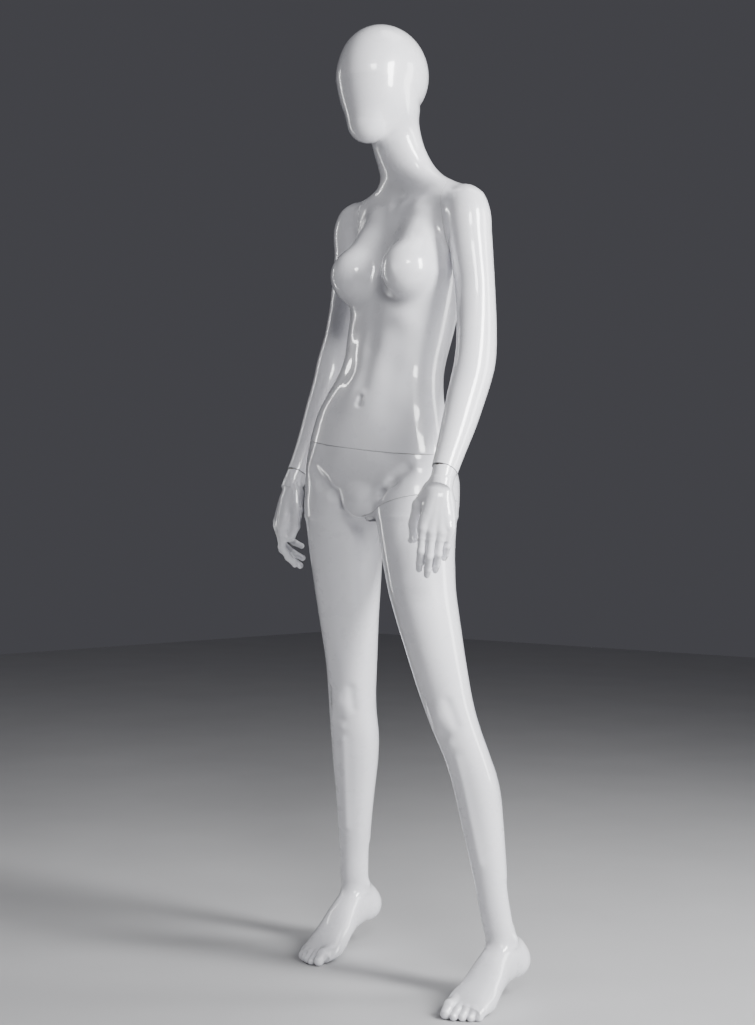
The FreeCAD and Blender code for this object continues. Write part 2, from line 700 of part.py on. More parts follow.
def build_waist(skin):
    """The boards that close the waist, the spigot, its socket and the locating pin."""
    gap = SEAM_GAP / 2
    point, normal = WAIST_POINT, WAIST_NORMAL
    upper = skin["board"]["trunk"].common(slab(point, normal, gap, BOARD + gap))
    lower = skin["board"]["trunk"].common(slab(point, normal, -BOARD - gap, -gap))

    flange = Part.makeCylinder(SPIGOT_FLANGE_R, PLATE, V(0, 0, -gap - PLATE))
    post = Part.makeCylinder(SPIGOT_R, SPIGOT_HEIGHT + PLATE, V(0, 0, -gap - PLATE))
    nose = Part.makeCone(SPIGOT_R, SPIGOT_R - 4, 6, V(0, 0, SPIGOT_HEIGHT - gap))
    hollow = Part.makeCylinder(SPIGOT_BORE_R, SPIGOT_HEIGHT + 20, V(0, 0, -gap - PLATE))
    spigot = flange.fuse([post, nose]).cut(hollow)

    bore_r = SPIGOT_R + SOCKET_CLEARANCE
    depth = SPIGOT_HEIGHT + 10
    collar = Part.makeCylinder(SPIGOT_FLANGE_R, PLATE, V(0, 0, gap))
    tube = Part.makeCylinder(bore_r + SOCKET_WALL, depth + SOCKET_WALL, V(0, 0, gap))
    socket = collar.fuse(tube).cut(Part.makeCylinder(bore_r, depth, V(0, 0, gap)))

    pin_at = V(0, LOCATING_PIN_OFFSET, 0)
    pin_hole_r = LOCATING_PIN_R + SHANK_CLEARANCE
    pin_length = LOCATING_PIN_HEIGHT + BOARD - 2
    pin = Part.makeCylinder(LOCATING_PIN_R, pin_length, pin_at - V(0, 0, BOARD - 2))
    pin_hole = Part.makeCylinder(pin_hole_r, BOARD + 1, pin_at)

    ring = SPIGOT_FLANGE_R * 0.8
    down = screw_ring(ring, 4, 0)
    down = [move_by(s, V(0, 0, -gap)) for s in down]
    up = [move_by(turn_over(s), V(0, 0, gap)) for s in screw_ring(ring, 4, 45)]
    seat_low = Part.makeCylinder(SPIGOT_FLANGE_R, PLATE, V(0, 0, -gap - PLATE))
    seat_high = Part.makeCylinder(SPIGOT_FLANGE_R, PLATE, V(0, 0, gap))
    through = Part.makeCylinder(bore_r + SOCKET_WALL, BOARD + 1, V(0, 0, 0))
    lower_cut = seat_low.fuse([pin] + down)
    upper_cut = seat_high.fuse([through, pin_hole] + up)
    lower = lower.cut(placed(lower_cut, point, normal))
    upper = upper.cut(placed(upper_cut, point, normal))
    add("torso_waist_board", one_solid(upper))
    add("torso_waist_socket", placed(socket.cut(up), point, normal))
    add("torso_socket_screws", placed(Part.makeCompound(up), point, normal))
    add("pelvis_waist_board", one_solid(lower))
    add("waist_spigot", placed(spigot.cut(down), point, normal))
    add("waist_spigot_screws", placed(Part.makeCompound(down), point, normal))
    add("waist_locating_pin", placed(pin, point, normal))


def build_all():
    skin = build_skins()
    build_torso(skin)
    build_arms(skin)
    build_lower_body(skin)
    build_waist(skin)


build_all()
os.makedirs("parts", exist_ok=True)
for name, shape in PARTS.items():
    shape.exportStep(os.path.join("parts", name + ".step"))
    print(name, len(shape.Solids), "%.1f cm3" % (shape.Volume / 1000), shape.isValid())
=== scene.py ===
import json
import math

import bmesh
import bpy
import numpy as np
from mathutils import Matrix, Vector

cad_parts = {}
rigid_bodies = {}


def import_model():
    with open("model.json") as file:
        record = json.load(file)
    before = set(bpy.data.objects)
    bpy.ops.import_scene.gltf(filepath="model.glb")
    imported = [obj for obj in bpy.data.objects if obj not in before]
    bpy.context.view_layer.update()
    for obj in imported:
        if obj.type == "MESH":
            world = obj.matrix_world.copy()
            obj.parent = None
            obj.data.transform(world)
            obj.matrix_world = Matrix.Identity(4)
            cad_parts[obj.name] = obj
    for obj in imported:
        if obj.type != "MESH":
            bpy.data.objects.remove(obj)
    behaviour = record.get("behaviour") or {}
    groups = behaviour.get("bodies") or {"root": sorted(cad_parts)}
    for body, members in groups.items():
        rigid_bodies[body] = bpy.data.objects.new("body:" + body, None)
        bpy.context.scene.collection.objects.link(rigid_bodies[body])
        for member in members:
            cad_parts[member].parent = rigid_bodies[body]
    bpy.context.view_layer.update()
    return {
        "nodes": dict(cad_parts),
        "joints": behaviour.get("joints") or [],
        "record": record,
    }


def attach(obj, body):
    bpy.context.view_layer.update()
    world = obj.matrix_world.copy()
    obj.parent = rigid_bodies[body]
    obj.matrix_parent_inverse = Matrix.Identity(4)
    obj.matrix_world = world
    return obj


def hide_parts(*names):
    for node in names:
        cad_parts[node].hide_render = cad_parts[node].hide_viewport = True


# Looks of the full body display mannequin.
# The fibreglass skins are built as smooth forms: each limb and the trunk is a column of
# rounded sections, balls and bones are added to them, all are melted together, and the
# surface is then meshed and cut at the parting planes that the CAD joints give.
# Forms are laid out in millimetres about the pelvis axis, with the floor at z = 0.

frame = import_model()
JOINTS = {joint["name"]: joint for joint in frame["joints"]}

# ------------------------------------------------------------------ driving dimensions
ORIGIN = np.array([11.0, -72.0, 0.0])   # pelvis-axis frame to the part's frame
WALL = 4.0                              # thickness of a shell's rim
SEAM_GAP = 0.4                          # gap between two shells
SEAM_BEVEL = 0.5                        # bevel on each side of a seam
RIM_DEPTH = 8.0                         # how far a rim is seen inside a shell
VOXEL = 3.6                             # mesh size of the body
FINE_VOXEL = 1.7                        # mesh size of hands and feet
FOOT_CUT = 128.0                        # height where the fine mesh of a foot begins
ARM_ZONE_FLOOR = 1325.0                 # shoulder seams lie above this height
ARM_ZONE_SIDE = 146.0                   # below it, arms hang outside this half width
ARM_ROOT_SIDE = 60.0                    # above it, a shoulder seam cuts outside this half width
WAIST_HALF_WIDTH = 170.0                # the waist seam cuts only inside this half width
WAIST_ZONE_TOP = 1100.0                 # and only below this height
LEG_CUT_SIDE = 11.0                     # the left leg lies on this side of the crotch
LEG_ZONE_TOP = 1000.0                   # the leg seam cuts only below this height
CROTCH_REACH = 12.0                     # the crotch is split this far to each side of that plane
LEFT_LEG_CLEAR = 780.0                  # below this height that side holds only the left leg
LEFT_BUST = (82, 5, 1335)
RIGHT_BUST = (-54, 12, 1335)


# ------------------------------------------------------------------ body sections
# height, centre x, centre y, half width, depth to the front, depth to the back,
# roundness (2 is an ellipse), turn in degrees
TRUNK = (
    (886, 2, 12, 30, 20, 34, 2.0, 8),
    (897, 2, 12, 86, 42, 68, 2.0, 8),
    (912, 2, 10, 134, 60, 92, 2.2, 8),
    (932, 2, 8, 154, 68, 103, 2.3, 8),
    (962, 1, 8, 156, 72, 103, 2.25, 8),
    (999, 0, 10, 152, 73, 95, 2.25, 8),
    (1031, -2, 14, 145, 72, 88, 2.25, 8),
    (1065, -4, 19, 137, 71, 80, 2.25, 8),
    (1093, -4, 24, 130, 71, 73, 2.2, 7),
    (1120, -1, 32, 120, 71, 70, 2.2, 6),
    (1147, 2, 41, 111, 71, 70, 2.2, 4),
    (1173, 6, 49, 107, 72, 71, 2.2, 2),
    (1228, 9, 64, 110, 74, 77, 2.2, 0),
    (1280, 11, 71, 116, 77, 82, 2.2, -2),
    (1330, 12, 77, 119, 78, 84, 2.3, -3),
    (1385, 13, 85, 114, 72, 78, 2.4, -4),
    (1420, 14, 90, 122, 63, 71, 2.4, -4),
    (1450, 14, 92, 140, 52, 60, 2.4, -4),
    (1472, 14, 93, 140, 42, 50, 2.3, -4),
    (1486, 16, 93, 138, 38, 42, 2.1, -4),
    (1500, 20, 91, 110, 40, 44, 2.0, -4),
    (1514, 25, 85, 70, 43, 48, 2.0, -3),
    (1538, 16, 72, 55, 48, 50, 2.0, -2),
    (1578, 14, 50, 47, 49, 49, 2.0, 0),
    (1612, 14, 34, 48, 42, 54, 2.0, 0),
    (1640, 14, 26, 50, 42, 58, 2.0, 0),
)
LEFT_LEG = (
    (1000, 76, 24, 30, 30, 40, 2.0, 8),
    (982, 80, 22, 54, 56, 66, 2.0, 8),
    (955, 84, 20, 70, 72, 84, 2.1, 8),
    (905, 88, 18, 75, 79, 86, 2.1, 8),
    (880, 92, 14, 72, 76, 80, 2.0, 8),
    (820, 100, 10, 66, 69, 70, 2.0, 8),
    (750, 111, 9, 61, 63, 62, 2.0, 8),
    (690, 123, 15, 57, 59, 57, 2.0, 8),
    (630, 134, 23, 52, 54, 52, 2.0, 8),
    (580, 143, 31, 48, 49, 46, 2.1, 8),
    (540, 150, 38, 45, 44, 46, 2.1, 8),
    (500, 158, 48, 44, 42, 47, 2.0, 8),
    (450, 170, 64, 42, 39, 48, 2.0, 8),
    (400, 178, 78, 42, 38, 47, 2.0, 8),
    (340, 183, 89, 40, 37, 43, 2.0, 8),
    (270, 188, 100, 34, 34, 37, 2.0, 8),
    (200, 193, 109, 29, 29, 32, 2.0, 8),
    (140, 199, 119, 30, 29, 33, 2.0, 8),
    (104, 202, 125, 27, 26, 28, 2.0, 8),
)
RIGHT_LEG = (
    (1000, -72, 6, 30, 30, 40, 2.0, 8),
    (982, -76, 7, 54, 56, 66, 2.0, 8),
    (955, -80, 8, 72, 72, 84, 2.1, 8),
    (905, -88, 12, 75, 79, 86, 2.1, 8),
    (880, -96, 20, 72, 76, 84, 2.0, 8),
    (820, -111, 40, 69, 70, 74, 2.0, 8),
    (750, -127, 61, 63, 64, 66, 2.0, 8),
    (690, -141, 80, 57, 58, 59, 2.0, 8),
    (630, -154, 99, 52, 53, 52, 2.0, 8),
    (580, -165, 113, 48, 50, 48, 2.1, 8),
    (540, -175, 123, 46, 46, 48, 2.1, 8),
    (500, -185, 134, 46, 44, 52, 2.0, 8),
    (450, -195, 150, 48, 42, 55, 2.0, 8),
    (400, -207, 164, 46, 40, 52, 2.0, 8),
    (340, -222, 180, 40, 37, 44, 2.0, 8),
    (270, -240, 198, 34, 33, 37, 2.0, 8),
    (200, -256, 215, 30, 30, 33, 2.0, 8),
    (150, -262, 221, 31, 29, 34, 2.0, 8),
    (118, -264, 226, 27, 26, 28, 2.0, 8),
)
# height, centre x, centre y, half width, depth to the front, depth to the back
LEFT_ARM = (
    (1472, 162, 79, 18, 20, 21),
    (1458, 163, 78, 30, 31, 32),
    (1440, 165, 77, 36, 37, 38),
    (1414, 170, 75, 38, 40, 40),
    (1366, 178, 68, 38, 37, 42),
    (1305, 189, 63, 36, 33, 40),
    (1241, 200, 56, 34, 37, 40),
    (1190, 209, 46, 33, 40, 41),
    (1152, 214, 33, 34, 41, 43),
    (1109, 219, 10, 33, 40, 41),
    (1041, 229, -29, 28, 35, 36),
    (989, 235, -61, 23, 29, 30),
    (955, 238, -81, 21, 27, 28),
    (930, 240, -95, 20, 26, 27),
)
RIGHT_ARM = (
    (1474, -137, 102, 18, 20, 21),
    (1460, -138, 102, 31, 32, 33),
    (1440, -140, 103, 38, 40, 42),
    (1416, -145, 105, 41, 42, 43),
    (1359, -158, 110, 39, 41, 42),
    (1300, -170, 111, 36, 40, 40),
    (1241, -183, 108, 35, 39, 40),
    (1191, -199, 102, 36, 39, 40),
    (1157, -197, 92, 34, 40, 41),
    (1117, -203, 79, 33, 38, 38),
    (1048, -212, 57, 28, 33, 34),
    (992, -219, 34, 23, 29, 29),
    (958, -223, 15, 21, 27, 28),
    (930, -226, 0, 20, 26, 27),
)
# the back of a foot from the heel: distance, half width, underside as a share of the
# heel's lift, thickness above the underside
HIND_FOOT = (
    (-28, 12, 1.50, 16),
    (-22, 22, 1.25, 47),
    (0, 29, 1.00, 79),
    (28, 29, 0.95, 88),
    (60, 30, 0.80, 84),
    (95, 35, 0.45, 72),
    (118, 39, 0.12, 64),
)
# the ball of a foot: distance, half width, underside, top
FORE_FOOT = (
    (132, 42, 0, 58),
    (150, 43, 0, 46),
    (168, 42, 0, 34),
    (180, 38, 0, 24),
)
# heel point x, y, direction in degrees from -Y towards +X, height of the heel's underside
LEFT_FOOT = (198, 166, 9.0, 36.0)
RIGHT_FOOT = (-267, 262, 7.6, 52.0)
# toes from the big one outwards: root and tip distance, side (+ is inwards), root and tip radius
TOES = (
    (160, 206, 27, 12.5, 9.5),
    (163, 205, 9, 8.6, 7.0),
    (160, 199, -6, 8.2, 6.6),
    (155, 192, -20, 7.8, 6.3),
    (149, 183, -32, 7.6, 6.2),
)


# ------------------------------------------------------------------ forms
def smoothed(values, sigma):
    """A row of evenly spaced values, blurred, with its ends held in line."""
    reach = int(3 * sigma)
    kernel = np.exp(-0.5 * (np.arange(-reach, reach + 1) / sigma) ** 2)
    kernel /= kernel.sum()
    head = 2 * values[0] - values[reach:0:-1]
    tail = 2 * values[-1] - values[-2:-reach - 2:-1]
    return np.convolve(np.concatenate([head, values, tail]), kernel, "valid")


def soft_min(a, b, k):
    """The union of two forms, melted together over the distance k."""
    h = np.clip(0.5 + 0.5 * (b - a) / k, 0.0, 1.0)
    return b + (a - b) * h - k * h * (1.0 - h)


class Form:
    """Anything with a signed distance; far away it only says FAR."""

    FAR = 400.0
    MARGIN = 60.0

    def __call__(self, points):
        out = np.full(len(points), self.FAR)
        low, high = self.low - self.MARGIN, self.high + self.MARGIN
        near = np.all((points > low) & (points < high), axis=1)
        if near.any():
            out[near] = self.distance(points[near])
        return out


class Column(Form):
    """Rounded sections stacked along one axis of a local frame, with smooth sides.

    Rows: height, centre a, centre b, half width a, depth to -b, depth to +b,
    and optionally roundness and turn.
    """

    def __init__(self, rows, sigma=14.0, origin=(0, 0, 0), axes=np.eye(3)):
        rows = np.array([tuple(r) + (2.0, 0.0)[len(r) - 6:] for r in sorted(rows)], float)
        self.base, self.top = rows[0, 0], rows[-1, 0]
        self.t = np.arange(self.base, self.top + 1.0)
        self.table = [smoothed(np.interp(self.t, rows[:, 0], c), sigma) for c in rows.T[1:]]
        self.slopes = [np.gradient(c) for c in self.table]
        self.origin, self.axes = np.array(origin, float), np.array(axes, float)
        reach = rows[:, 3:6].max()
        world = self.origin + rows[:, [1, 2, 0]] @ self.axes
        self.low, self.high = world.min(0) - reach, world.max(0) + reach

    def distance(self, points):
        a, b, t = ((points - self.origin) @ self.axes.T).T
        at = np.clip(t, self.base, self.top)
        ca, cb, half, front, back, power, turn = (np.interp(at, self.t, c) for c in self.table)
        dca, dcb, dhalf, dfront, dback = (np.interp(at, self.t, c) for c in self.slopes[:5])
        co, si = np.cos(np.radians(turn)), np.sin(np.radians(turn))
        x = (a - ca) * co + (b - cb) * si
        y = (b - cb) * co - (a - ca) * si
        behind = y > 0
        depth = np.where(behind, back, front)
        ddepth = np.where(behind, dback, dfront)
        ux, uy = np.abs(x) / half, np.abs(y) / depth
        px, py = ux ** power, uy ** power
        q = np.maximum((px + py) ** (1.0 / power), 1e-3)
        scale = q ** (1.0 - power)
        gx = ux ** (power - 1.0) / half * scale * np.sign(x)
        gy = uy ** (power - 1.0) / depth * scale * np.sign(y)
        gt = -(gx * (dca * co + dcb * si) + gy * (dcb * co - dca * si))
        gt -= scale * (px / half * dhalf + py / depth * ddepth)
        d = (q - 1.0) / np.sqrt(gx * gx + gy * gy + gt * gt + 1e-9)
        over = np.abs(t - at)
        return np.where(over > 0, np.hypot(np.maximum(d, 0.0), over), d)


class Ball(Form):
    """An ellipsoid, or a squarer one with a roundness above 2, in its own axes."""

    def __init__(self, centre, radii, axes=np.eye(3), power=2.0):
        self.centre, self.radii = np.array(centre, float), np.array(radii, float)
        self.axes, self.power = np.array(axes, float), power
        reach = self.radii.max()
        self.low, self.high = self.centre - reach, self.centre + reach

    def distance(self, points):
        u = np.abs((points - self.centre) @ self.axes.T) / self.radii
        q = np.maximum((u ** self.power).sum(1) ** (1.0 / self.power), 1e-3)
        g = u ** (self.power - 1.0) / self.radii * (q ** (1.0 - self.power))[:, None]
        return (q - 1.0) / np.sqrt((g * g).sum(1) + 1e-9)


class Bone(Form):
    """A tapered rod with round ends."""

    def __init__(self, a, b, ra, rb):
        self.a, self.b = np.array(a, float), np.array(b, float)
        self.ra, self.rb = ra, rb
        reach = max(ra, rb)
        self.low = np.minimum(self.a, self.b) - reach
        self.high = np.maximum(self.a, self.b) + reach

    def distance(self, points):
        run = self.b - self.a
        t = np.clip((points - self.a) @ run / (run @ run), 0.0, 1.0)
        radius = self.ra + (self.rb - self.ra) * t
        return np.linalg.norm(points - self.a - t[:, None] * run, axis=1) - radius


class Melt(Form):
    """Several forms melted together; each comes with its own blending distance."""

    def __init__(self, *pairs):
        self.pairs = pairs
        self.low = np.min([form.low for form, k in pairs], axis=0)
        self.high = np.max([form.high for form, k in pairs], axis=0)

    def distance(self, points):
        total = self.pairs[0][0](points)
        for form, k in self.pairs[1:]:
            total = soft_min(total, form(points), k)
        return total


class Pressed(Form):
    """A form with furrows and ridges: each is a line, a width and a depth (ridges are below 0)."""

    def __init__(self, form, marks):
        self.form, self.marks = form, marks
        self.low, self.high = form.low, form.high

    def distance(self, points):
        d = self.form(points)
        for a, b, width, depth in self.marks:
            a, b = np.array(a, float), np.array(b, float)
            low, high = np.minimum(a, b) - 2.6 * width, np.maximum(a, b) + 2.6 * width
            close = np.flatnonzero(np.all((points > low) & (points < high), axis=1))
            run, p = b - a, points[close]
            t = np.clip((p - a) @ run / max(run @ run, 1e-9), 0.0, 1.0)
            gap = p - a - t[:, None] * run
            d[close] += depth * (np.exp(-(gap * gap).sum(1) / (width * width)))
        return d


def column_point(column, height, across, front=True):
    """A point on a column's front or back at a height, a distance to the side of its centre."""
    ca, cb, half, near, far, power, turn = (
        np.interp(height, column.t, c) for c in column.table
    )
    depth = near if front else far
    u = min(abs(across) / half, 0.99)
    y = depth * (1.0 - u ** power) ** (1.0 / power) * (-1.0 if front else 1.0)
    co, si = math.cos(math.radians(turn)), math.sin(math.radians(turn))
    return np.array([ca + across * co - y * si, cb + across * si + y * co, height])


# ------------------------------------------------------------------ the body's forms
def line_on(column, points, width, depth, front=True):
    """Furrow or ridge marks along points (height, across) laid on a column."""
    spots = [column_point(column, h, x, front) for h, x in points]
    return [(spots[i], spots[i + 1], width, depth) for i in range(len(spots) - 1)]


def spot(point, width, depth):
    """A round dent or bump."""
    return [(point, point, width, depth)]


def breast(centre, apex_out):
    """A breast: a full lower ball and a long upper slope; its small raised apex is added as a mark in
    build_upper.
    """
    c = np.array(centre, float)
    upper = Bone(c + (0, 9, 6), c + (apex_out * -7, 54, 88), 45, 33)
    full = Ball(c, (46, 53, 50))
    return Melt((full, 0), (upper, 22))


def build_upper():
    """Torso, neck, head and both arms as one form."""
    trunk = Column(TRUNK)
    skull = Ball((13, 12, 1706), (74, 95, 90))
    face = Bone((13, -26, 1684), (13, -33, 1608), 56, 34)
    cheeks = Ball((13, -4, 1662), (59, 66, 64))
    left_jaw = Bone((20, -24, 1613), (32, 14, 1640), 31, 43)
    right_jaw = Bone((6, -24, 1613), (-6, 14, 1640), 31, 43)
    head = Melt((skull, 0), (face, 22), (cheeks, 22), (left_jaw, 18), (right_jaw, 18))
    left_breast = breast(LEFT_BUST, 1)
    right_breast = breast(RIGHT_BUST, -1)
    left_arm = Melt(
        (Column(LEFT_ARM), 0), (Ball((163, 77, 1437), (37, 37, 50)), 16),
        (Bone((150, 81, 1458), (96, 90, 1470), 30, 27), 20),
    )
    right_arm = Melt(
        (Column(RIGHT_ARM), 0), (Ball((-141, 101, 1438), (43, 43, 54)), 16),
        (Bone((-128, 100, 1461), (-68, 96, 1472), 31, 27), 20),
    )
    body = Melt(
        (trunk, 0), (left_breast, 24), (right_breast, 24), (head, 18),
        (left_arm, 24), (right_arm, 24),
    )
    marks = []
    marks += line_on(trunk, ((1410, 0), (1340, 0), (1290, 0)), 20, 2.8)
    marks += line_on(trunk, ((1262, 0), (1200, -1), (1125, -1)), 16, 2.3)
    for side in (1, -1):
        marks += line_on(trunk, ((1225, 56 * side), (1160, 54 * side), (1085, 62 * side)), 26, 2.4)
        marks += line_on(trunk, ((1262, 20 * side), (1246, 62 * side), (1225, 88 * side)), 24, -2.2)
    marks += line_on(trunk, ((1104, 0), (1093, 0)), 4.6, 6.5)
    marks += line_on(trunk, ((1114, 0), (1114, 0)), 9.0, -1.2)
    marks += line_on(trunk, ((1092, -4), (1092, 4)), 5.0, 1.5)
    for side in (1, -1):
        marks += line_on(trunk, ((1464, 18 * side), (1462, 58 * side), (1470, 104 * side)), 17, -2.4)
        marks += line_on(trunk, ((1440, 62 * side), (1434, 98 * side)), 26, 3.0)
    marks += spot(column_point(trunk, 1484, 0), 16, 3.6)
    marks += line_on(trunk, ((1470, 0), (1380, 0), (1250, 0), (1120, 0)), 13, 5.0, front=False)
    for (top, near), (end, far), width, depth in (
        ((1440, 62), (1370, 70), 30, -4.0), ((1345, 40), (1360, 88), 12, 3.0),
        ((1180, 34), (1080, 38), 24, -3.0),
    ):
        for side in (1, -1):
            spots = ((top, near * side), (end, far * side))
            marks += line_on(trunk, spots, width, depth, front=False)
    for centre, lean in ((LEFT_BUST, 0.12), (RIGHT_BUST, -0.25)):
        apex = np.array(centre, float) + (lean * 46, -52, -2)
        marks += spot(apex, 12, -1.8)
    return Pressed(body, marks)


def foot_form(spec, inner):
    """A raised-heel foot with its toes; inner is +1 or -1, the side of the big toe."""
    hx, hy, turn, lift = spec
    a = math.radians(turn)
    forward = np.array([math.sin(a), -math.cos(a), 0.0])
    side = np.array([math.cos(a), math.sin(a), 0.0]) * inner
    up = np.array([0.0, 0.0, 1.0])
    heel = np.array([hx, hy, 0.0])
    rows = []
    for distance, half, share, thick in HIND_FOOT:
        low = share * lift
        rows.append((distance, 0, low + thick / 2, half, thick / 2, thick / 2, 2.3, 0))
    for distance, half, low, high in FORE_FOOT:
        lean = 3.0 if distance > 140 else 0.0
        rows.append((distance, lean, (low + high) / 2, half, (high - low) / 2, (high - low) / 2, 2.3, 0))
    body = Column(rows, 7.0, heel, np.array([side, up, forward]))
    pairs = [(body, 0), (Ball(heel + (0, 0, lift + 29) + forward * -4, (26, 27, 29)), 12)]

    def at(distance, across, height):
        return heel + forward * distance + side * across + up * height

    toes = None
    for index, (root, tip, across, root_r, tip_r) in enumerate(TOES):
        knuckle = at((root + tip) / 2, across * 0.97, root_r * 1.15 + 6)
        start = at(root - 14, across * 0.9, root_r + 8)
        end = at(tip - tip_r, across * 0.95, tip_r * 0.98)
        toe = Melt(
            (Bone(start, knuckle, root_r, root_r * 0.92), 0),
            (Bone(knuckle, end, root_r * 0.92, tip_r), 2.0),
            (Ball(end + up * -0.3 + forward * -1.0, (tip_r * 1.05, tip_r * 1.12, tip_r * 0.98)), 2.0),
        )
        nail_way = forward * 0.86 - up * 0.5
        nail_up = forward * 0.5 + up * 0.86
        nail = Ball(
            end + nail_up * tip_r * 0.86 - forward * 0.5,
            (tip_r * 0.62, tip_r * 0.72, tip_r * 0.22), np.array([side, nail_way, nail_up]),
        )
        toe = Melt((toe, 0), (nail, 0.5))
        toes = toe if toes is None else Melt((toes, 0), (toe, 1.2))
    pairs.append((toes, 7.0))
    return Melt(*pairs)


def floor_cut(form):
    """The form kept above the floor, flat where it stands."""
    class Standing(Form):
        low, high = form.low, form.high

        def distance(self, points):
            d, below = form(points), -points[:, 2]
            return -soft_min(-d, -below, 2.0)
    return Standing()


def build_lower():
    """Pelvis, both legs and both feet as one form."""
    trunk = Column(TRUNK)
    left_leg, right_leg = Column(LEFT_LEG), Column(RIGHT_LEG)
    left_seat = Ball((66, 52, 934), (72, 66, 74))
    right_seat = Ball((-60, 42, 938), (72, 66, 74))
    mound = Ball((2, -30, 920), (42, 34, 37))
    floor_of_pelvis = Ball((2, 22, 922), (62, 88, 38), power=2.4)
    left = Melt((left_leg, 0), (floor_cut(foot_form(LEFT_FOOT, -1)), 16))
    right = Melt((right_leg, 0), (floor_cut(foot_form(RIGHT_FOOT, 1)), 16))
    body = Melt(
        (trunk, 0), (floor_of_pelvis, 12), (left_seat, 24), (right_seat, 24), (mound, 14),
        (right, 14), (left, 14),
    )
    marks = []
    fold = ((972, 104), (948, 80), (926, 56), (904, 32))
    marks += line_on(trunk, [(h, -x) for h, x in fold], 12, 8.5)
    marks += line_on(trunk, fold, 12, 6.5)
    marks += line_on(trunk, ((1010, -100), (985, -112)), 20, -3.0)
    marks += line_on(trunk, ((1010, 100), (985, 112)), 20, -3.0)
    marks += line_on(trunk, ((1030, -64), (990, -84)), 22, 3.0)
    marks += line_on(trunk, ((1030, 64), (990, 84)), 22, 3.0)
    cleft = [column_point(trunk, h, 0, False) for h in (992, 950, 905)]
    marks += [(cleft[0], cleft[1], 10, 11.0), (cleft[1], cleft[2], 11, 17.0)]
    for column, knee, out in ((left_leg, 528, 1), (right_leg, 524, -1)):
        marks += spot(column_point(column, knee, 0), 19, -4.5)
        marks += line_on(column, ((knee + 26, -26), (knee - 14, -28)), 9, 2.6)
        marks += line_on(column, ((knee + 26, 26), (knee - 14, 28)), 9, 2.6)
        marks += spot(column_point(column, knee - 36, 0), 12, 2.0)
        marks += spot(column_point(column, knee - 50, 2), 11, -2.0)
        marks += line_on(column, ((knee - 80, 3), (260, 3)), 9, -2.4)
        marks += line_on(column, ((knee + 8, -10), (knee - 24, -10)), 16, 3.0, front=False)
        marks += line_on(column, ((430, 0), (340, 0)), 8, 2.0, front=False)
        marks += line_on(column, ((420, 20 * out), (370, 22 * out)), 20, -2.5, front=False)
        marks += line_on(column, ((240, 0), (150, 0)), 9, -4.0, front=False)
        marks += line_on(column, ((215, 22), (150, 24)), 11, 4.0, front=False)
        marks += line_on(column, ((215, -22), (150, -24)), 11, 4.0, front=False)
        marks += line_on(column, ((820, 30 * out), (640, 24 * out)), 30, -2.0)
    for column, level in ((left_leg, 116), (right_leg, 134)):
        ca, cb = np.interp(level, column.t, column.table[0]), np.interp(level, column.t, column.table[1])
        marks += spot(np.array([ca + 31, cb + 8, level]), 11, -4.5)
        marks += spot(np.array([ca - 31, cb + 2, level + 6]), 11, -4.5)
    return Pressed(body, marks)


# ------------------------------------------------------------------ hands
# sections of a palm from the wrist joint: distance, half width, half depth, rise
PALM = (
    (-4, 18, 16, 0),
    (12, 20.5, 16, 0),
    (34, 25, 15, 1),
    (60, 30, 14, 1),
    (80, 32, 12, 0),
    (94, 29, 8, -1),
    (102, 20, 3, -3),
)
# sections of the wrist from the seam: distance, half width, half depth
WRIST = (
    (-16, 20.5, 24),
    (0, 20, 23.2),
    (16, 19.5, 21.5),
    (36, 20, 18),
)
WRIST_JOINT = 24.0               # from the seam to the wrist joint
# finger roots and lengths: along, across, out, total length, root radius, tip radius
FINGERS = (
    (86, 23.5, 0, 82, 7.7, 6.0),
    (90, 8, 1, 90, 7.9, 6.1),
    (87, -7.5, 1, 85, 7.7, 5.9),
    (80, -22.5, -1, 68, 7.0, 5.4),
)
FINGER_SHARES = (0.46, 0.30, 0.24)
# bends at the three knuckles of each finger, and how far the finger leans sideways
LEFT_CURL = ((16, 28, 18, -0.02), (16, 30, 20, -0.01), (18, 32, 20, 0.01), (22, 32, 20, 0.04))
RIGHT_CURL = ((16, 34, 12, 0.0), (26, 34, 12, 0.0), (34, 34, 12, 0.0), (46, 24, 12, 0.02))
LEFT_THUMB = ((14, 18, -8), (42, 35, -19), (74, 40, -26), (100, 38, -29))
RIGHT_THUMB = ((14, 18, -8), (44, 32, -16), (76, 34, -22), (100, 30, -22))
THUMB_R = (12.5, 10.4, 8.8, 6.8)


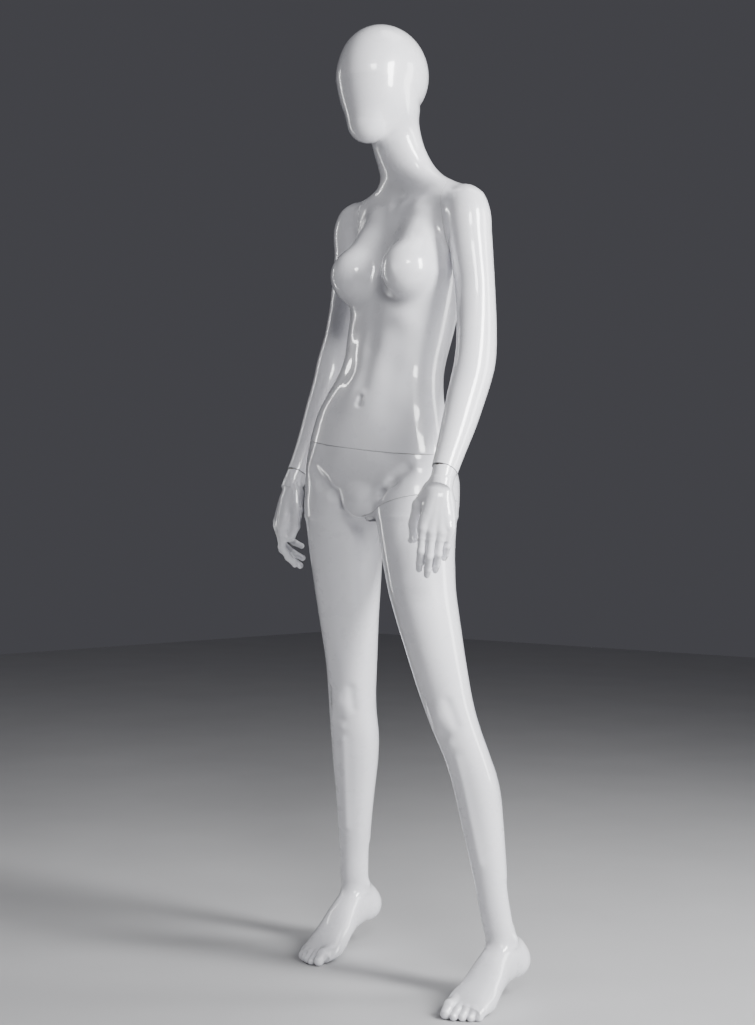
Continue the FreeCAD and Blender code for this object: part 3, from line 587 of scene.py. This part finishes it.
class Hand:
    """A hand's own frame: along it, across towards the thumb, and out of its back."""

    def __init__(self, joint, heading, back_towards, thumb_side):
        self.seam = np.array(JOINTS[joint]["pos_m"]) * 1000 - ORIGIN
        axis = np.array(JOINTS[joint]["axis"], float)
        self.forearm = axis * (-1 if axis[2] > 0 else 1)
        self.wrist = self.seam + self.forearm * WRIST_JOINT
        self.along = np.array(heading, float) / np.linalg.norm(heading)
        back = np.array(back_towards, float)
        self.out = back - self.along * (self.along @ back)
        self.out /= np.linalg.norm(self.out)
        self.across = np.cross(self.along, self.out) * thumb_side

    def at(self, a, c, o):
        return self.wrist + self.along * a + self.across * c + self.out * o

    def form(self, curls, thumb):
        rows = [(a, 0, rise, half, depth, depth, 2.3, 0) for a, half, depth, rise in PALM]
        axes = np.array([self.across, self.out, self.along])
        palm = Column(rows, 6.0, self.wrist, axes)
        side = np.array([1.0, 0, 0]) - self.forearm * self.forearm[0]
        side /= np.linalg.norm(side)
        rows = [(a, 0, 0, half, depth, depth, 2.0, 0) for a, half, depth in WRIST]
        cuff_axes = np.array([side, np.cross(self.forearm, side), self.forearm])
        cuff = Column(rows, 6.0, self.seam, cuff_axes)
        pad_axes = np.array([self.along, self.across, self.out])
        heel_pad = Ball(self.at(38, 14, -9), (28, 14, 12), pad_axes)
        edge_pad = Ball(self.at(48, -16, -8), (32, 13, 11), pad_axes)
        hand = Melt((palm, 0), (cuff, 7), (heel_pad, 10), (edge_pad, 10))
        fingers = None
        marks = []
        for (a, c, o, length, root_r, tip_r), (*bends, lean) in zip(FINGERS, curls):
            a_root, c_root = a, c
            spots, angle, ways = [self.at(a - 20, c * 0.9, o), self.at(a, c, o)], 0.0, []
            for share, bend in zip(FINGER_SHARES, bends):
                angle += math.radians(bend)
                a += length * share * math.cos(angle)
                o -= length * share * math.sin(angle)
                c += lean * length * share
                spots.append(self.at(a, c, o))
                ways.append(angle)
            radii = [root_r + (tip_r - root_r) * i / 3 for i in range(4)]
            finger = Bone(spots[0], spots[1], root_r * 0.9, root_r)
            for i in range(3):
                bone = Bone(spots[i + 1], spots[i + 2], radii[i] * 1.02, radii[i + 1] * 0.97)
                finger = Melt((finger, 0), (bone, 3.0))
            along = self.along * math.cos(angle) - self.out * math.sin(angle)
            out = self.out * math.cos(angle) + self.along * math.sin(angle)
            nail = Ball(
                spots[-1] + out * tip_r * 0.82,
                (tip_r * 0.62, tip_r * 0.62, tip_r * 0.22), np.array([along, self.across, out]),
            )
            finger = Melt((finger, 0), (nail, 0.5))
            fingers = finger if fingers is None else Melt((fingers, 0), (finger, 1.5))
            marks.append((self.at(30, c * 0.5, 15), self.at(80, c, 12), 5.0, -0.6))
            marks.append((self.at(a_root, c_root, 11), self.at(a_root, c_root, 11), 8.0, -1.0))
        hand = Melt((hand, 0), (fingers, 7.0))
        spots = [self.at(*p) for p in thumb]
        digit = Melt(
            (Bone(spots[0], spots[1], THUMB_R[0], THUMB_R[1]), 0),
            (Bone(spots[1], spots[2], THUMB_R[1], THUMB_R[2]), 4.0),
            (Bone(spots[2], spots[3], THUMB_R[2], THUMB_R[3]), 4.0),
        )
        along = (spots[3] - spots[2]) / np.linalg.norm(spots[3] - spots[2])
        out = self.across * 0.75 + self.out * 0.66
        out -= along * (out @ along)
        out /= np.linalg.norm(out)
        nail = Ball(
            spots[3] + out * THUMB_R[3] * 0.8 + along * 2.0,
            (THUMB_R[3] * 0.85, THUMB_R[3] * 0.75, THUMB_R[3] * 0.26),
            np.array([along, np.cross(out, along), out]),
        )
        digit = Melt((digit, 0), (nail, 0.5))
        return Pressed(Melt((hand, 0), (digit, 12.0)), marks)


# ------------------------------------------------------------------ meshing
def grid_values(form, low, high, step):
    """The form's distance on a grid, worked out only near its surface."""
    axes = [np.arange(low[i], high[i] + step, step) for i in range(3)]
    coarse = [axis[::4] for axis in axes]
    mesh = np.stack(np.meshgrid(*coarse, indexing="ij"), -1).reshape(-1, 3)
    rough = form(mesh).reshape([len(c) for c in coarse])
    index = [np.minimum((np.arange(len(axis)) + 2) // 4, len(c) - 1) for axis, c in zip(axes, coarse)]
    values = rough[np.ix_(*index)].astype(float)
    near = np.abs(values) < step * 5.0
    spots = np.argwhere(near)
    points = np.stack([axes[i][spots[:, i]] for i in range(3)], 1)
    values[near] = form(points)
    return axes, values


def surface_net(axes, values):
    """Vertices and quads of the zero surface."""
    inside = values < 0
    shape = np.array(values.shape) - 1
    corner = [(i, j, k) for i in (0, 1) for j in (0, 1) for k in (0, 1)]
    count = np.zeros(shape, int)
    for i, j, k in corner:
        count += inside[i:i + shape[0], j:j + shape[1], k:k + shape[2]]
    cells = np.argwhere((count > 0) & (count < 8))
    number = np.full(shape, -1)
    number[tuple(cells.T)] = np.arange(len(cells))
    total, hits = np.zeros((len(cells), 3)), np.zeros(len(cells))
    for axis in range(3):
        for start in [c for c in corner if c[axis] == 0]:
            a = cells + start
            b = a.copy()
            b[:, axis] += 1
            va, vb = values[tuple(a.T)], values[tuple(b.T)]
            cross = (va < 0) != (vb < 0)
            t = np.where(cross, va / np.where(cross, va - vb, 1.0), 0.0)
            spot = np.stack([axes[i][a[:, i]] for i in range(3)], 1)
            spot[:, axis] += t * (axes[axis][1] - axes[axis][0])
            total[cross] += spot[cross]
            hits[cross] += 1
    vertices = total / hits[:, None]
    quads = []
    for axis in range(3):
        u, v = (axis + 1) % 3, (axis + 2) % 3
        a = np.take(inside, np.arange(inside.shape[axis] - 1), axis)
        b = np.take(inside, np.arange(1, inside.shape[axis]), axis)
        edges = np.argwhere(a != b)
        above = (edges[:, u] > 0) & (edges[:, v] > 0)
        below = (edges[:, u] < shape[u]) & (edges[:, v] < shape[v])
        edges = edges[above & below]
        leaves = a[tuple(edges.T)]
        ring = []
        for du, dv in ((0, 0), (-1, 0), (-1, -1), (0, -1)):
            cell = edges.copy()
            cell[:, u] += du
            cell[:, v] += dv
            ring.append(number[tuple(cell.T)])
        ring = np.stack(ring, 1)
        ring[~leaves] = ring[~leaves][:, ::-1]
        quads.append(ring)
    quads = np.concatenate(quads)
    return vertices, quads[(quads >= 0).all(1)]


def gradient(form, points, step=0.5):
    """The form's outward direction at each point, not normalised."""
    parts = []
    for axis in range(3):
        shift = np.zeros(3)
        shift[axis] = step
        parts.append((form(points + shift) - form(points - shift)) / (2 * step))
    return np.stack(parts, 1)


def settle(form, vertices, limit, step=0.5):
    """Moves each vertex onto the surface along the form's gradient."""
    here = form(vertices)
    g = np.stack([(form(vertices + shift) - here) / step for shift in np.eye(3) * step], 1)
    length = np.maximum((g * g).sum(1), 0.05)
    move = g * (here / length)[:, None]
    size = np.linalg.norm(move, axis=1)
    return vertices - move * (np.minimum(size, limit) / np.maximum(size, 1e-9))[:, None]


def mesh_form(form, low, high, step):
    """Vertices and quads of a form inside a box, evenly spread over its surface."""
    axes, values = grid_values(form, np.array(low, float), np.array(high, float), step)
    vertices, quads = surface_net(axes, values)
    edges = np.concatenate([quads[:, [i, (i + 1) % 4]] for i in range(4)])
    for rounds in range(3):
        total, hits = np.zeros_like(vertices), np.zeros(len(vertices))
        for a, b in ((0, 1), (1, 0)):
            for axis in range(3):
                total[:, axis] += np.bincount(edges[:, a], vertices[edges[:, b], axis], len(vertices))
            hits += np.bincount(edges[:, a], minlength=len(vertices))
        mean = total / np.maximum(hits, 1)[:, None]
        vertices = vertices + (mean - vertices) * 0.6
        vertices = settle(form, vertices, step)
    return settle(form, vertices, step), quads


# ------------------------------------------------------------------ cutting into pieces
def to_part(points):
    """Pelvis-axis millimetres to the part's own frame in metres."""
    return (np.asarray(points) + ORIGIN) / 1000.0


def bmesh_from(vertices, quads):
    mesh = bpy.data.meshes.new("scratch")
    mesh.from_pydata(vertices.tolist(), [], quads.tolist())
    bm = bmesh.new()
    bm.from_mesh(mesh)
    bpy.data.meshes.remove(mesh)
    return bm


def keep_where(bm, test):
    """Deletes the faces whose middle fails the test."""
    gone = [f for f in bm.faces if not test(f.calc_center_median())]
    bmesh.ops.delete(bm, geom=gone, context="FACES")


def split_at(bm, point, normal, zone):
    """Cuts the faces of a zone along a plane and keeps both sides."""
    geom = set(f for f in bm.faces if zone(f.calc_center_median()))
    for face in list(geom):
        geom.update(face.verts)
        geom.update(face.edges)
    bmesh.ops.bisect_plane(
        bm, geom=list(geom), plane_co=Vector(point), plane_no=Vector(normal), dist=1e-4
    )


def slice_at(bm, point, normal, offset, zone):
    """Cuts the mesh at a plane and drops what lies beyond it, within a zone."""
    point, normal = Vector(point), Vector(normal).normalized()
    here = [f for f in bm.faces if zone(f.calc_center_median())]
    geom = set(here)
    for face in here:
        geom.update(face.verts)
        geom.update(face.edges)
    bmesh.ops.bisect_plane(
        bm, geom=list(geom), plane_co=point + normal * offset, plane_no=normal, dist=1e-4
    )
    gone = [
        f for f in bm.faces
        if zone(f.calc_center_median()) and (f.calc_center_median() - point).dot(normal) > offset
    ]
    bmesh.ops.delete(bm, geom=gone, context="FACES")


def border_loops(bm, point, normal, reach=3.0):
    """The open edges lying near a plane, as ordered loops of points."""
    point, normal = Vector(point), Vector(normal).normalized()
    links = {}
    for edge in bm.edges:
        if edge.is_boundary and all(abs((v.co - point).dot(normal)) < reach for v in edge.verts):
            a, b = edge.verts
            links.setdefault(a, []).append(b)
            links.setdefault(b, []).append(a)
    loops, seen = [], set()
    for start in links:
        if start in seen:
            continue
        loop, here, before = [], start, None
        while here is not None and here not in seen:
            seen.add(here)
            loop.append(here.co.copy())
            ahead = [v for v in links[here] if v is not before and v not in seen]
            before, here = here, (ahead[0] if ahead else None)
        loops.append(loop)
    return [loop for loop in loops if len(loop) > 12]


def rim_mesh(loop, normal):
    """A shell's rim at a seam: a small bevel, the flat of the wall and the inside behind it.

    The loop lies a little back from the seam; the normal points out of the shell.
    """
    points = np.array([tuple(p) for p in loop])
    normal = np.array(normal, float)
    normal /= np.linalg.norm(normal)
    closed = np.linalg.norm(points[0] - points[-1]) < 12.0
    ahead, behind = np.roll(points, -1, axis=0), np.roll(points, 1, axis=0)
    if not closed:
        ahead[-1], behind[0] = points[-1], points[0]
    inward = np.cross(normal, ahead - behind)
    inward /= np.maximum(np.linalg.norm(inward, axis=1), 1e-9)[:, None]
    middle = points.mean(0)
    if ((middle - points) * inward).sum() < 0:
        inward = -inward
    rings = [
        points,
        points + inward * SEAM_BEVEL + normal * SEAM_BEVEL,
        points + inward * WALL + normal * SEAM_BEVEL,
        points + inward * (WALL + 3.0) - normal * RIM_DEPTH,
    ]
    vertices = np.concatenate(rings)
    count = len(points)
    faces = []
    for r in range(len(rings) - 1):
        for i in range(count if closed else count - 1):
            j = (i + 1) % count
            faces.append((r * count + i, r * count + j, (r + 1) * count + j, (r + 1) * count + i))
    return vertices, faces


def make_object(name, vertices, faces, form=None):
    """A mesh object in metres; with a form, its shading follows the form exactly."""
    mesh = bpy.data.meshes.new(name)
    mesh.from_pydata(to_part(vertices).tolist(), [], [tuple(f) for f in faces])
    mesh.update()
    mesh.polygons.foreach_set("use_smooth", np.full(len(mesh.polygons), form is not None))
    if form is not None:
        g = gradient(form, np.asarray(vertices))
        g /= np.maximum(np.linalg.norm(g, axis=1), 1e-9)[:, None]
        mesh.normals_split_custom_set_from_vertices(g.tolist())
    thing = bpy.data.objects.new(name, mesh)
    bpy.context.scene.collection.objects.link(thing)
    return thing


def bmesh_arrays(bm):
    bm.verts.index_update()
    vertices = np.array([tuple(v.co) for v in bm.verts])
    return vertices, [tuple(v.index for v in f.verts) for f in bm.faces]


def plane_of(joint):
    """A joint's seam plane in the pelvis-axis frame: point and axis."""
    j = JOINTS[joint]
    axis = np.array(j["axis"], float)
    return np.array(j["pos_m"]) * 1000.0 - ORIGIN, axis / np.linalg.norm(axis)


WAIST_POINT = np.array([0.0, 14.0, 1018.0])
WAIST_NORMAL = np.array(JOINTS["torso_lift"]["axis"], float)
SEAMS = {
    "waist": (WAIST_POINT, WAIST_NORMAL),
    "left_shoulder": (plane_of("left_shoulder_twist")[0], -plane_of("left_shoulder_twist")[1]),
    "right_shoulder": plane_of("right_shoulder_twist"),
    "left_wrist": plane_of("left_wrist_twist"),
    "right_wrist": plane_of("right_wrist_twist"),
    "leg": plane_of("left_leg_twist"),
}
SEAMS["right_wrist"] = (SEAMS["right_wrist"][0], SEAMS["right_wrist"][1] * -1)
CUT_BACK = SEAM_GAP / 2 + SEAM_BEVEL


def everywhere(point):
    return True


def waist_zone(point):
    """Around the waist seam, clear of the hands."""
    return abs(point.x) < WAIST_HALF_WIDTH and point.z < WAIST_ZONE_TOP


def shoulder_zone(side):
    def zone(point):
        return point.z > ARM_ZONE_FLOOR and point.x * side > ARM_ROOT_SIDE
    return zone


def add_rims(name, bm, body, seams):
    """The rims of a shell at its seams, as one piece."""
    vertices, faces = [], []
    for point, outward in seams:
        for loop in border_loops(bm, point, outward):
            ring, quads = rim_mesh(loop, outward)
            start = sum(len(v) for v in vertices)
            vertices.append(ring)
            faces += [tuple(i + start for i in q) for q in quads]
    rim = make_object(name, np.concatenate(vertices), faces)
    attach(rim, body)
    return rim


def finish_skin(name, bm, form, body, node):
    """The skin object of one shell, standing for its CAD node."""
    vertices, faces = bmesh_arrays(bm)
    skin = make_object(name, vertices, faces, form)
    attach(skin, body)
    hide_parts(node)
    return skin


def build_upper_skins():
    form = build_upper()
    vertices, quads = mesh_form(form, (-275, -135, 925), (295, 185, 1805), VOXEL)
    left_point, left_normal = SEAMS["left_shoulder"]
    right_point, right_normal = SEAMS["right_shoulder"]

    bm = bmesh_from(vertices, quads)
    slice_at(bm, WAIST_POINT, -WAIST_NORMAL, -CUT_BACK, waist_zone)
    slice_at(bm, left_point, left_normal, -CUT_BACK, shoulder_zone(1))
    slice_at(bm, right_point, right_normal, -CUT_BACK, shoulder_zone(-1))
    keep_where(bm, lambda p: p.z > ARM_ZONE_FLOOR or abs(p.x) < ARM_ZONE_SIDE)
    torso = finish_skin("torso_skin", bm, form, "torso", "torso_shell")
    add_rims(
        "torso_rims", bm, "torso",
        ((WAIST_POINT, -WAIST_NORMAL), (left_point, left_normal), (right_point, right_normal)),
    )
    bm.free()
    made = [torso]
    for side, sign, point, normal in (
        ("left", 1, left_point, left_normal), ("right", -1, right_point, right_normal),
    ):
        bm = bmesh_from(vertices, quads)
        slice_at(bm, point, -normal, -CUT_BACK, shoulder_zone(sign))
        keep_where(
            bm, lambda p: p.x * sign > ARM_ROOT_SIDE
            and (p.z > ARM_ZONE_FLOOR or p.x * sign > ARM_ZONE_SIDE)
        )
        wrist, along = SEAMS[side + "_wrist"]
        slice_at(bm, wrist, along, -CUT_BACK, everywhere)
        made.append(finish_skin(side + "_arm_skin", bm, form, side + "_arm", side + "_arm_shell"))
        add_rims(
            side + "_arm_rims", bm, side + "_arm", ((point, -normal), (wrist, along)),
        )
        bm.free()
    return made


def add_foot(bm, form, spec):
    """Joins the finely meshed foot to a leg that was cut at the ankle."""
    hx, hy = spec[:2]
    vertices, quads = mesh_form(
        form, (hx - 75, hy - 245, -6), (hx + 75, hy + 60, FOOT_CUT + 6), FINE_VOXEL
    )
    foot = bmesh_from(vertices, quads)
    slice_at(foot, (0, 0, FOOT_CUT), (0, 0, 1), -1.2, everywhere)
    keep_where(foot, lambda p: p.z < FOOT_CUT)
    scratch = bpy.data.meshes.new("scratch")
    foot.to_mesh(scratch)
    foot.free()
    bm.from_mesh(scratch)
    bpy.data.meshes.remove(scratch)
    rims = [
        e for e in bm.edges
        if e.is_boundary and all(abs(v.co.z - FOOT_CUT) < 2.5 for v in e.verts)
        and abs(e.verts[0].co.x - hx) < 90
    ]
    bmesh.ops.bridge_loops(bm, edges=rims)


def build_lower_skins():
    form = build_lower()
    vertices, quads = mesh_form(form, (-330, -75, 90), (270, 320, 1062), VOXEL)
    leg_point, leg_down = SEAMS["leg"]

    def leg_zone(point):
        return point.x > LEG_CUT_SIDE and point.z < LEG_ZONE_TOP

    def crotch_zone(point):
        return abs(point.x - LEG_CUT_SIDE) < CROTCH_REACH and point.z < LEG_ZONE_TOP

    inboard = (LEG_CUT_SIDE, 0, 0)
    bm = bmesh_from(vertices, quads)
    slice_at(bm, WAIST_POINT, WAIST_NORMAL, -CUT_BACK, everywhere)
    split_at(bm, inboard, (1, 0, 0), crotch_zone)
    slice_at(bm, leg_point, leg_down, -CUT_BACK, leg_zone)
    keep_where(bm, lambda p: p.x < LEG_CUT_SIDE or p.z > LEFT_LEG_CLEAR)
    slice_at(bm, (0, 0, FOOT_CUT), (0, 0, -1), 0.0, everywhere)
    add_foot(bm, form, RIGHT_FOOT)
    right = finish_skin("pelvis_right_leg_skin", bm, form, "lower_body", "pelvis_right_leg_shell")
    add_rims(
        "pelvis_rims", bm, "lower_body",
        ((WAIST_POINT, WAIST_NORMAL), (leg_point, leg_down)),
    )
    bm.free()

    bm = bmesh_from(vertices, quads)
    split_at(bm, inboard, (1, 0, 0), crotch_zone)
    keep_where(bm, lambda p: p.x > LEG_CUT_SIDE)
    slice_at(bm, leg_point, -leg_down, -CUT_BACK, everywhere)
    slice_at(bm, (0, 0, FOOT_CUT), (0, 0, -1), 0.0, everywhere)
    add_foot(bm, form, LEFT_FOOT)
    left = finish_skin("left_leg_skin", bm, form, "left_leg", "left_leg_shell")
    add_rims("left_leg_rim", bm, "left_leg", ((leg_point, -leg_down),))
    bm.free()
    return [right, left]


def build_hands():
    made = []
    for side, heading, towards, thumb_side, curls, thumb in (
        ("left", (0.03, -0.18, -0.98), (0.68, -0.73, 0.0), 1, LEFT_CURL, LEFT_THUMB),
        ("right", (-0.22, -0.20, -0.95), (-0.53, -0.85, 0.0), -1, RIGHT_CURL, RIGHT_THUMB),
    ):
        hand = Hand(side + "_wrist_twist", heading, towards, thumb_side)
        form = hand.form(curls, thumb)
        low, high = hand.wrist - (90, 110, 205), hand.wrist + (90, 90, 30)
        vertices, quads = mesh_form(form, low, high, FINE_VOXEL)
        bm = bmesh_from(vertices, quads)
        slice_at(bm, hand.seam, -hand.forearm, -CUT_BACK, everywhere)
        made.append(finish_skin(side + "_hand_skin", bm, form, side + "_hand", side + "_hand"))
        add_rims(
            side + "_hand_rim", bm, side + "_hand", ((hand.seam, -hand.forearm),),
        )
        bm.free()
    return made


# ------------------------------------------------------------------ materials
def new_material(name):
    material = bpy.data.materials.new(name)
    material.use_nodes = True
    tree = material.node_tree
    shader = tree.nodes["Principled BSDF"]
    return material, tree, shader


def noise(tree, scale, detail=3.0, roughness=0.5):
    """A noise texture in the part's own coordinates."""
    place = tree.nodes.new("ShaderNodeTexCoord")
    texture = tree.nodes.new("ShaderNodeTexNoise")
    texture.inputs["Scale"].default_value = scale
    texture.inputs["Detail"].default_value = detail
    texture.inputs["Roughness"].default_value = roughness
    tree.links.new(place.outputs["Object"], texture.inputs["Vector"])
    return texture


def ramp(tree, source, stops):
    """A colour ramp fed by a value; stops are (place, colour)."""
    node = tree.nodes.new("ShaderNodeValToRGB")
    elements = node.color_ramp.elements
    while len(elements) < len(stops):
        elements.new(0.5)
    for element, (place, colour) in zip(elements, stops):
        element.position = place
        element.color = (*colour, 1.0)
    tree.links.new(source, node.inputs["Fac"])
    return node


def bump(tree, shader, height, strength, distance):
    node = tree.nodes.new("ShaderNodeBump")
    node.inputs["Strength"].default_value = strength
    node.inputs["Distance"].default_value = distance
    tree.links.new(height, node.inputs["Height"])
    tree.links.new(node.outputs["Normal"], shader.inputs["Normal"])
    return node


def lacquer_material():
    """High-gloss cool white lacquer on fibreglass, with a trace of orange peel."""
    material, tree, shader = new_material("gloss_white_lacquer")
    tone = noise(tree, 9.0, 4.0)
    colour = ramp(
        tree, tone.outputs["Fac"],
        ((0.25, (0.755, 0.755, 0.80)), (0.5, (0.79, 0.79, 0.83)), (0.78, (0.81, 0.81, 0.845))),
    )
    tree.links.new(colour.outputs["Color"], shader.inputs["Base Color"])
    haze = noise(tree, 26.0, 5.0, 0.6)
    rough = tree.nodes.new("ShaderNodeMapRange")
    rough.inputs["To Min"].default_value = 0.22
    rough.inputs["To Max"].default_value = 0.34
    tree.links.new(haze.outputs["Fac"], rough.inputs["Value"])
    tree.links.new(rough.outputs["Result"], shader.inputs["Roughness"])
    shader.inputs["IOR"].default_value = 1.5
    shader.inputs["Coat Weight"].default_value = 1.0
    shader.inputs["Coat Roughness"].default_value = 0.035
    shader.inputs["Coat IOR"].default_value = 1.52
    peel = noise(tree, 160.0, 2.0)
    bump(tree, shader, peel.outputs["Fac"], 0.05, 0.0004)
    return material


def rim_material():
    """The raw fibreglass edge of a shell: satin off-white with glass fibres showing."""
    material, tree, shader = new_material("fibreglass_edge")
    fibre = noise(tree, 420.0, 6.0, 0.7)
    colour = ramp(
        tree, fibre.outputs["Fac"],
        ((0.3, (0.42, 0.42, 0.44)), (0.55, (0.60, 0.60, 0.62)), (0.75, (0.68, 0.68, 0.70))),
    )
    tree.links.new(colour.outputs["Color"], shader.inputs["Base Color"])
    shader.inputs["Roughness"].default_value = 0.5
    bump(tree, shader, fibre.outputs["Fac"], 0.4, 0.0005)
    return material


def plywood_material():
    """Bare birch plywood with grain and a few darker streaks."""
    material, tree, shader = new_material("birch_plywood")
    place = tree.nodes.new("ShaderNodeTexCoord")
    stretch = tree.nodes.new("ShaderNodeMapping")
    stretch.inputs["Scale"].default_value = (1.0, 0.12, 1.0)
    tree.links.new(place.outputs["Object"], stretch.inputs["Vector"])
    grain = tree.nodes.new("ShaderNodeTexNoise")
    grain.inputs["Scale"].default_value = 160.0
    grain.inputs["Detail"].default_value = 7.0
    grain.inputs["Distortion"].default_value = 0.6
    tree.links.new(stretch.outputs["Vector"], grain.inputs["Vector"])
    colour = ramp(
        tree, grain.outputs["Fac"],
        ((0.28, (0.36, 0.22, 0.11)), (0.5, (0.60, 0.43, 0.25)), (0.72, (0.72, 0.56, 0.36))),
    )
    tree.links.new(colour.outputs["Color"], shader.inputs["Base Color"])
    shader.inputs["Roughness"].default_value = 0.62
    bump(tree, shader, grain.outputs["Fac"], 0.35, 0.0006)
    return material


def steel_material(name, low, high, rough_low, rough_high, scale):
    """Plated or turned steel with fine marks and a slightly uneven sheen."""
    material, tree, shader = new_material(name)
    marks = noise(tree, scale, 6.0, 0.65)
    colour = ramp(tree, marks.outputs["Fac"], ((0.3, low), (0.7, high)))
    tree.links.new(colour.outputs["Color"], shader.inputs["Base Color"])
    rough = tree.nodes.new("ShaderNodeMapRange")
    rough.inputs["To Min"].default_value = rough_low
    rough.inputs["To Max"].default_value = rough_high
    tree.links.new(marks.outputs["Fac"], rough.inputs["Value"])
    tree.links.new(rough.outputs["Result"], shader.inputs["Roughness"])
    shader.inputs["Metallic"].default_value = 1.0
    bump(tree, shader, marks.outputs["Fac"], 0.15, 0.0002)
    return material


def dress(thing, material):
    thing.data.materials.clear()
    thing.data.materials.append(material)


def dress_nodes(materials):
    """Gives every CAD node the material of its slot."""
    by_slot = {
        "birch_board": materials["board"],
        "lock_steel": materials["plated"],
        "spigot_steel": materials["turned"],
        "pin_steel": materials["turned"],
        "socket_steel": materials["turned"],
        "screw_steel": materials["screw"],
        "gloss_white_skin": materials["skin"],
    }
    for entry in frame["record"]["subparts"]:
        dress(frame["nodes"][entry["node"]], by_slot[entry["material_slot"]])


# ------------------------------------------------------------------ studio
def area_light(name, place, target, size, power, spread=180, colour=(1, 1, 1)):
    data = bpy.data.lights.new(name, "AREA")
    data.shape = "RECTANGLE"
    data.size, data.size_y = size
    data.energy = power
    data.color = colour
    data.spread = math.radians(spread)
    light = bpy.data.objects.new(name, data)
    light.location = place
    light.rotation_euler = (Vector(target) - Vector(place)).to_track_quat("-Z", "Y").to_euler()
    bpy.context.scene.collection.objects.link(light)
    return light


def seen_from(azimuth, distance, height):
    """A place at an angle round the figure; 0 is in front, + is to its left."""
    a = math.radians(azimuth)
    return (distance * math.sin(a), -distance * math.cos(a), height)


CAMERA_AZIMUTH = 43.0
CAMERA_DISTANCE = 3.240
CAMERA_HEIGHT = 0.893
FOCAL_PIXELS = 1745.7
IMAGE_HEIGHT = 1025.0
AXIS_OFFSET = 0.0065             # the frame's centre lies this far to the right of the axis


def build_camera():
    data = bpy.data.cameras.new("camera")
    data.sensor_fit = "VERTICAL"
    data.sensor_height = 36.0
    data.lens = FOCAL_PIXELS / IMAGE_HEIGHT * 36.0
    camera = bpy.data.objects.new("camera", data)
    a = math.radians(CAMERA_AZIMUTH)
    toward = Vector((-math.sin(a), math.cos(a), 0.0))
    right = Vector((math.cos(a), math.sin(a), 0.0))
    axis = Vector(ORIGIN / 1000.0)
    axis.z = CAMERA_HEIGHT
    camera.location = axis - toward * CAMERA_DISTANCE + right * AXIS_OFFSET
    camera.rotation_euler = toward.to_track_quat("-Z", "Y").to_euler()
    bpy.context.scene.collection.objects.link(camera)
    bpy.context.scene.camera = camera


def build_studio():
    """A pale floor, a dim room, and soft boxes whose reflections draw the lacquer's highlights."""
    bpy.ops.mesh.primitive_grid_add(x_subdivisions=8, y_subdivisions=8, size=14.0, location=(0, 0, 0))
    floor = bpy.context.object
    floor.name = "studio_floor"
    material, tree, shader = new_material("pale_floor")
    tone = noise(tree, 3.0, 3.0)
    stops = ((0.3, (0.50, 0.50, 0.51)), (0.7, (0.53, 0.53, 0.54)))
    colour = ramp(tree, tone.outputs["Fac"], stops)
    tree.links.new(colour.outputs["Color"], shader.inputs["Base Color"])
    shader.inputs["Roughness"].default_value = 0.55
    dress(floor, material)

    world = bpy.data.worlds.new("studio")
    world.use_nodes = True
    world.node_tree.nodes["Background"].inputs["Color"].default_value = (0.15, 0.15, 0.17, 1.0)
    world.node_tree.nodes["Background"].inputs["Strength"].default_value = 0.42
    bpy.context.scene.world = world

    area_light("key_box", seen_from(92, 2.5, 2.0), (0, 0, 1.05), (0.55, 1.5), 120, 150)
    area_light("side_box", seen_from(128, 2.6, 1.5), (0, 0, 0.9), (0.6, 2.2), 34, 150)
    area_light("front_box", seen_from(50, 4.4, 3.3), (0, 0, 1.05), (1.2, 0.8), 9, 50)
    area_light("far_strip", seen_from(-78, 2.4, 1.3), (0, 0, 0.95), (0.08, 2.2), 6, 120)
    area_light("top_box", (0.5, 0.6, 3.6), (0, 0, 1.0), (1.0, 1.0), 10)


# ------------------------------------------------------------------ everything
def build_all():
    materials = {
        "skin": lacquer_material(),
        "edge": rim_material(),
        "board": plywood_material(),
        "plated": steel_material(
            "plated_steel", (0.50, 0.50, 0.49), (0.68, 0.67, 0.64), 0.25, 0.42, 90.0
        ),
        "turned": steel_material(
            "turned_steel", (0.46, 0.46, 0.47), (0.60, 0.60, 0.61), 0.18, 0.34, 220.0
        ),
        "screw": steel_material(
            "screw_steel", (0.56, 0.54, 0.48), (0.74, 0.72, 0.66), 0.22, 0.40, 300.0
        ),
    }
    skins = build_upper_skins() + build_lower_skins() + build_hands()
    for skin in skins:
        dress(skin, materials["skin"])
    for thing in bpy.context.scene.objects:
        if thing.type == "MESH" and "_rim" in thing.name:
            dress(thing, materials["edge"])
    dress_nodes(materials)
    build_studio()
    build_camera()


build_all()
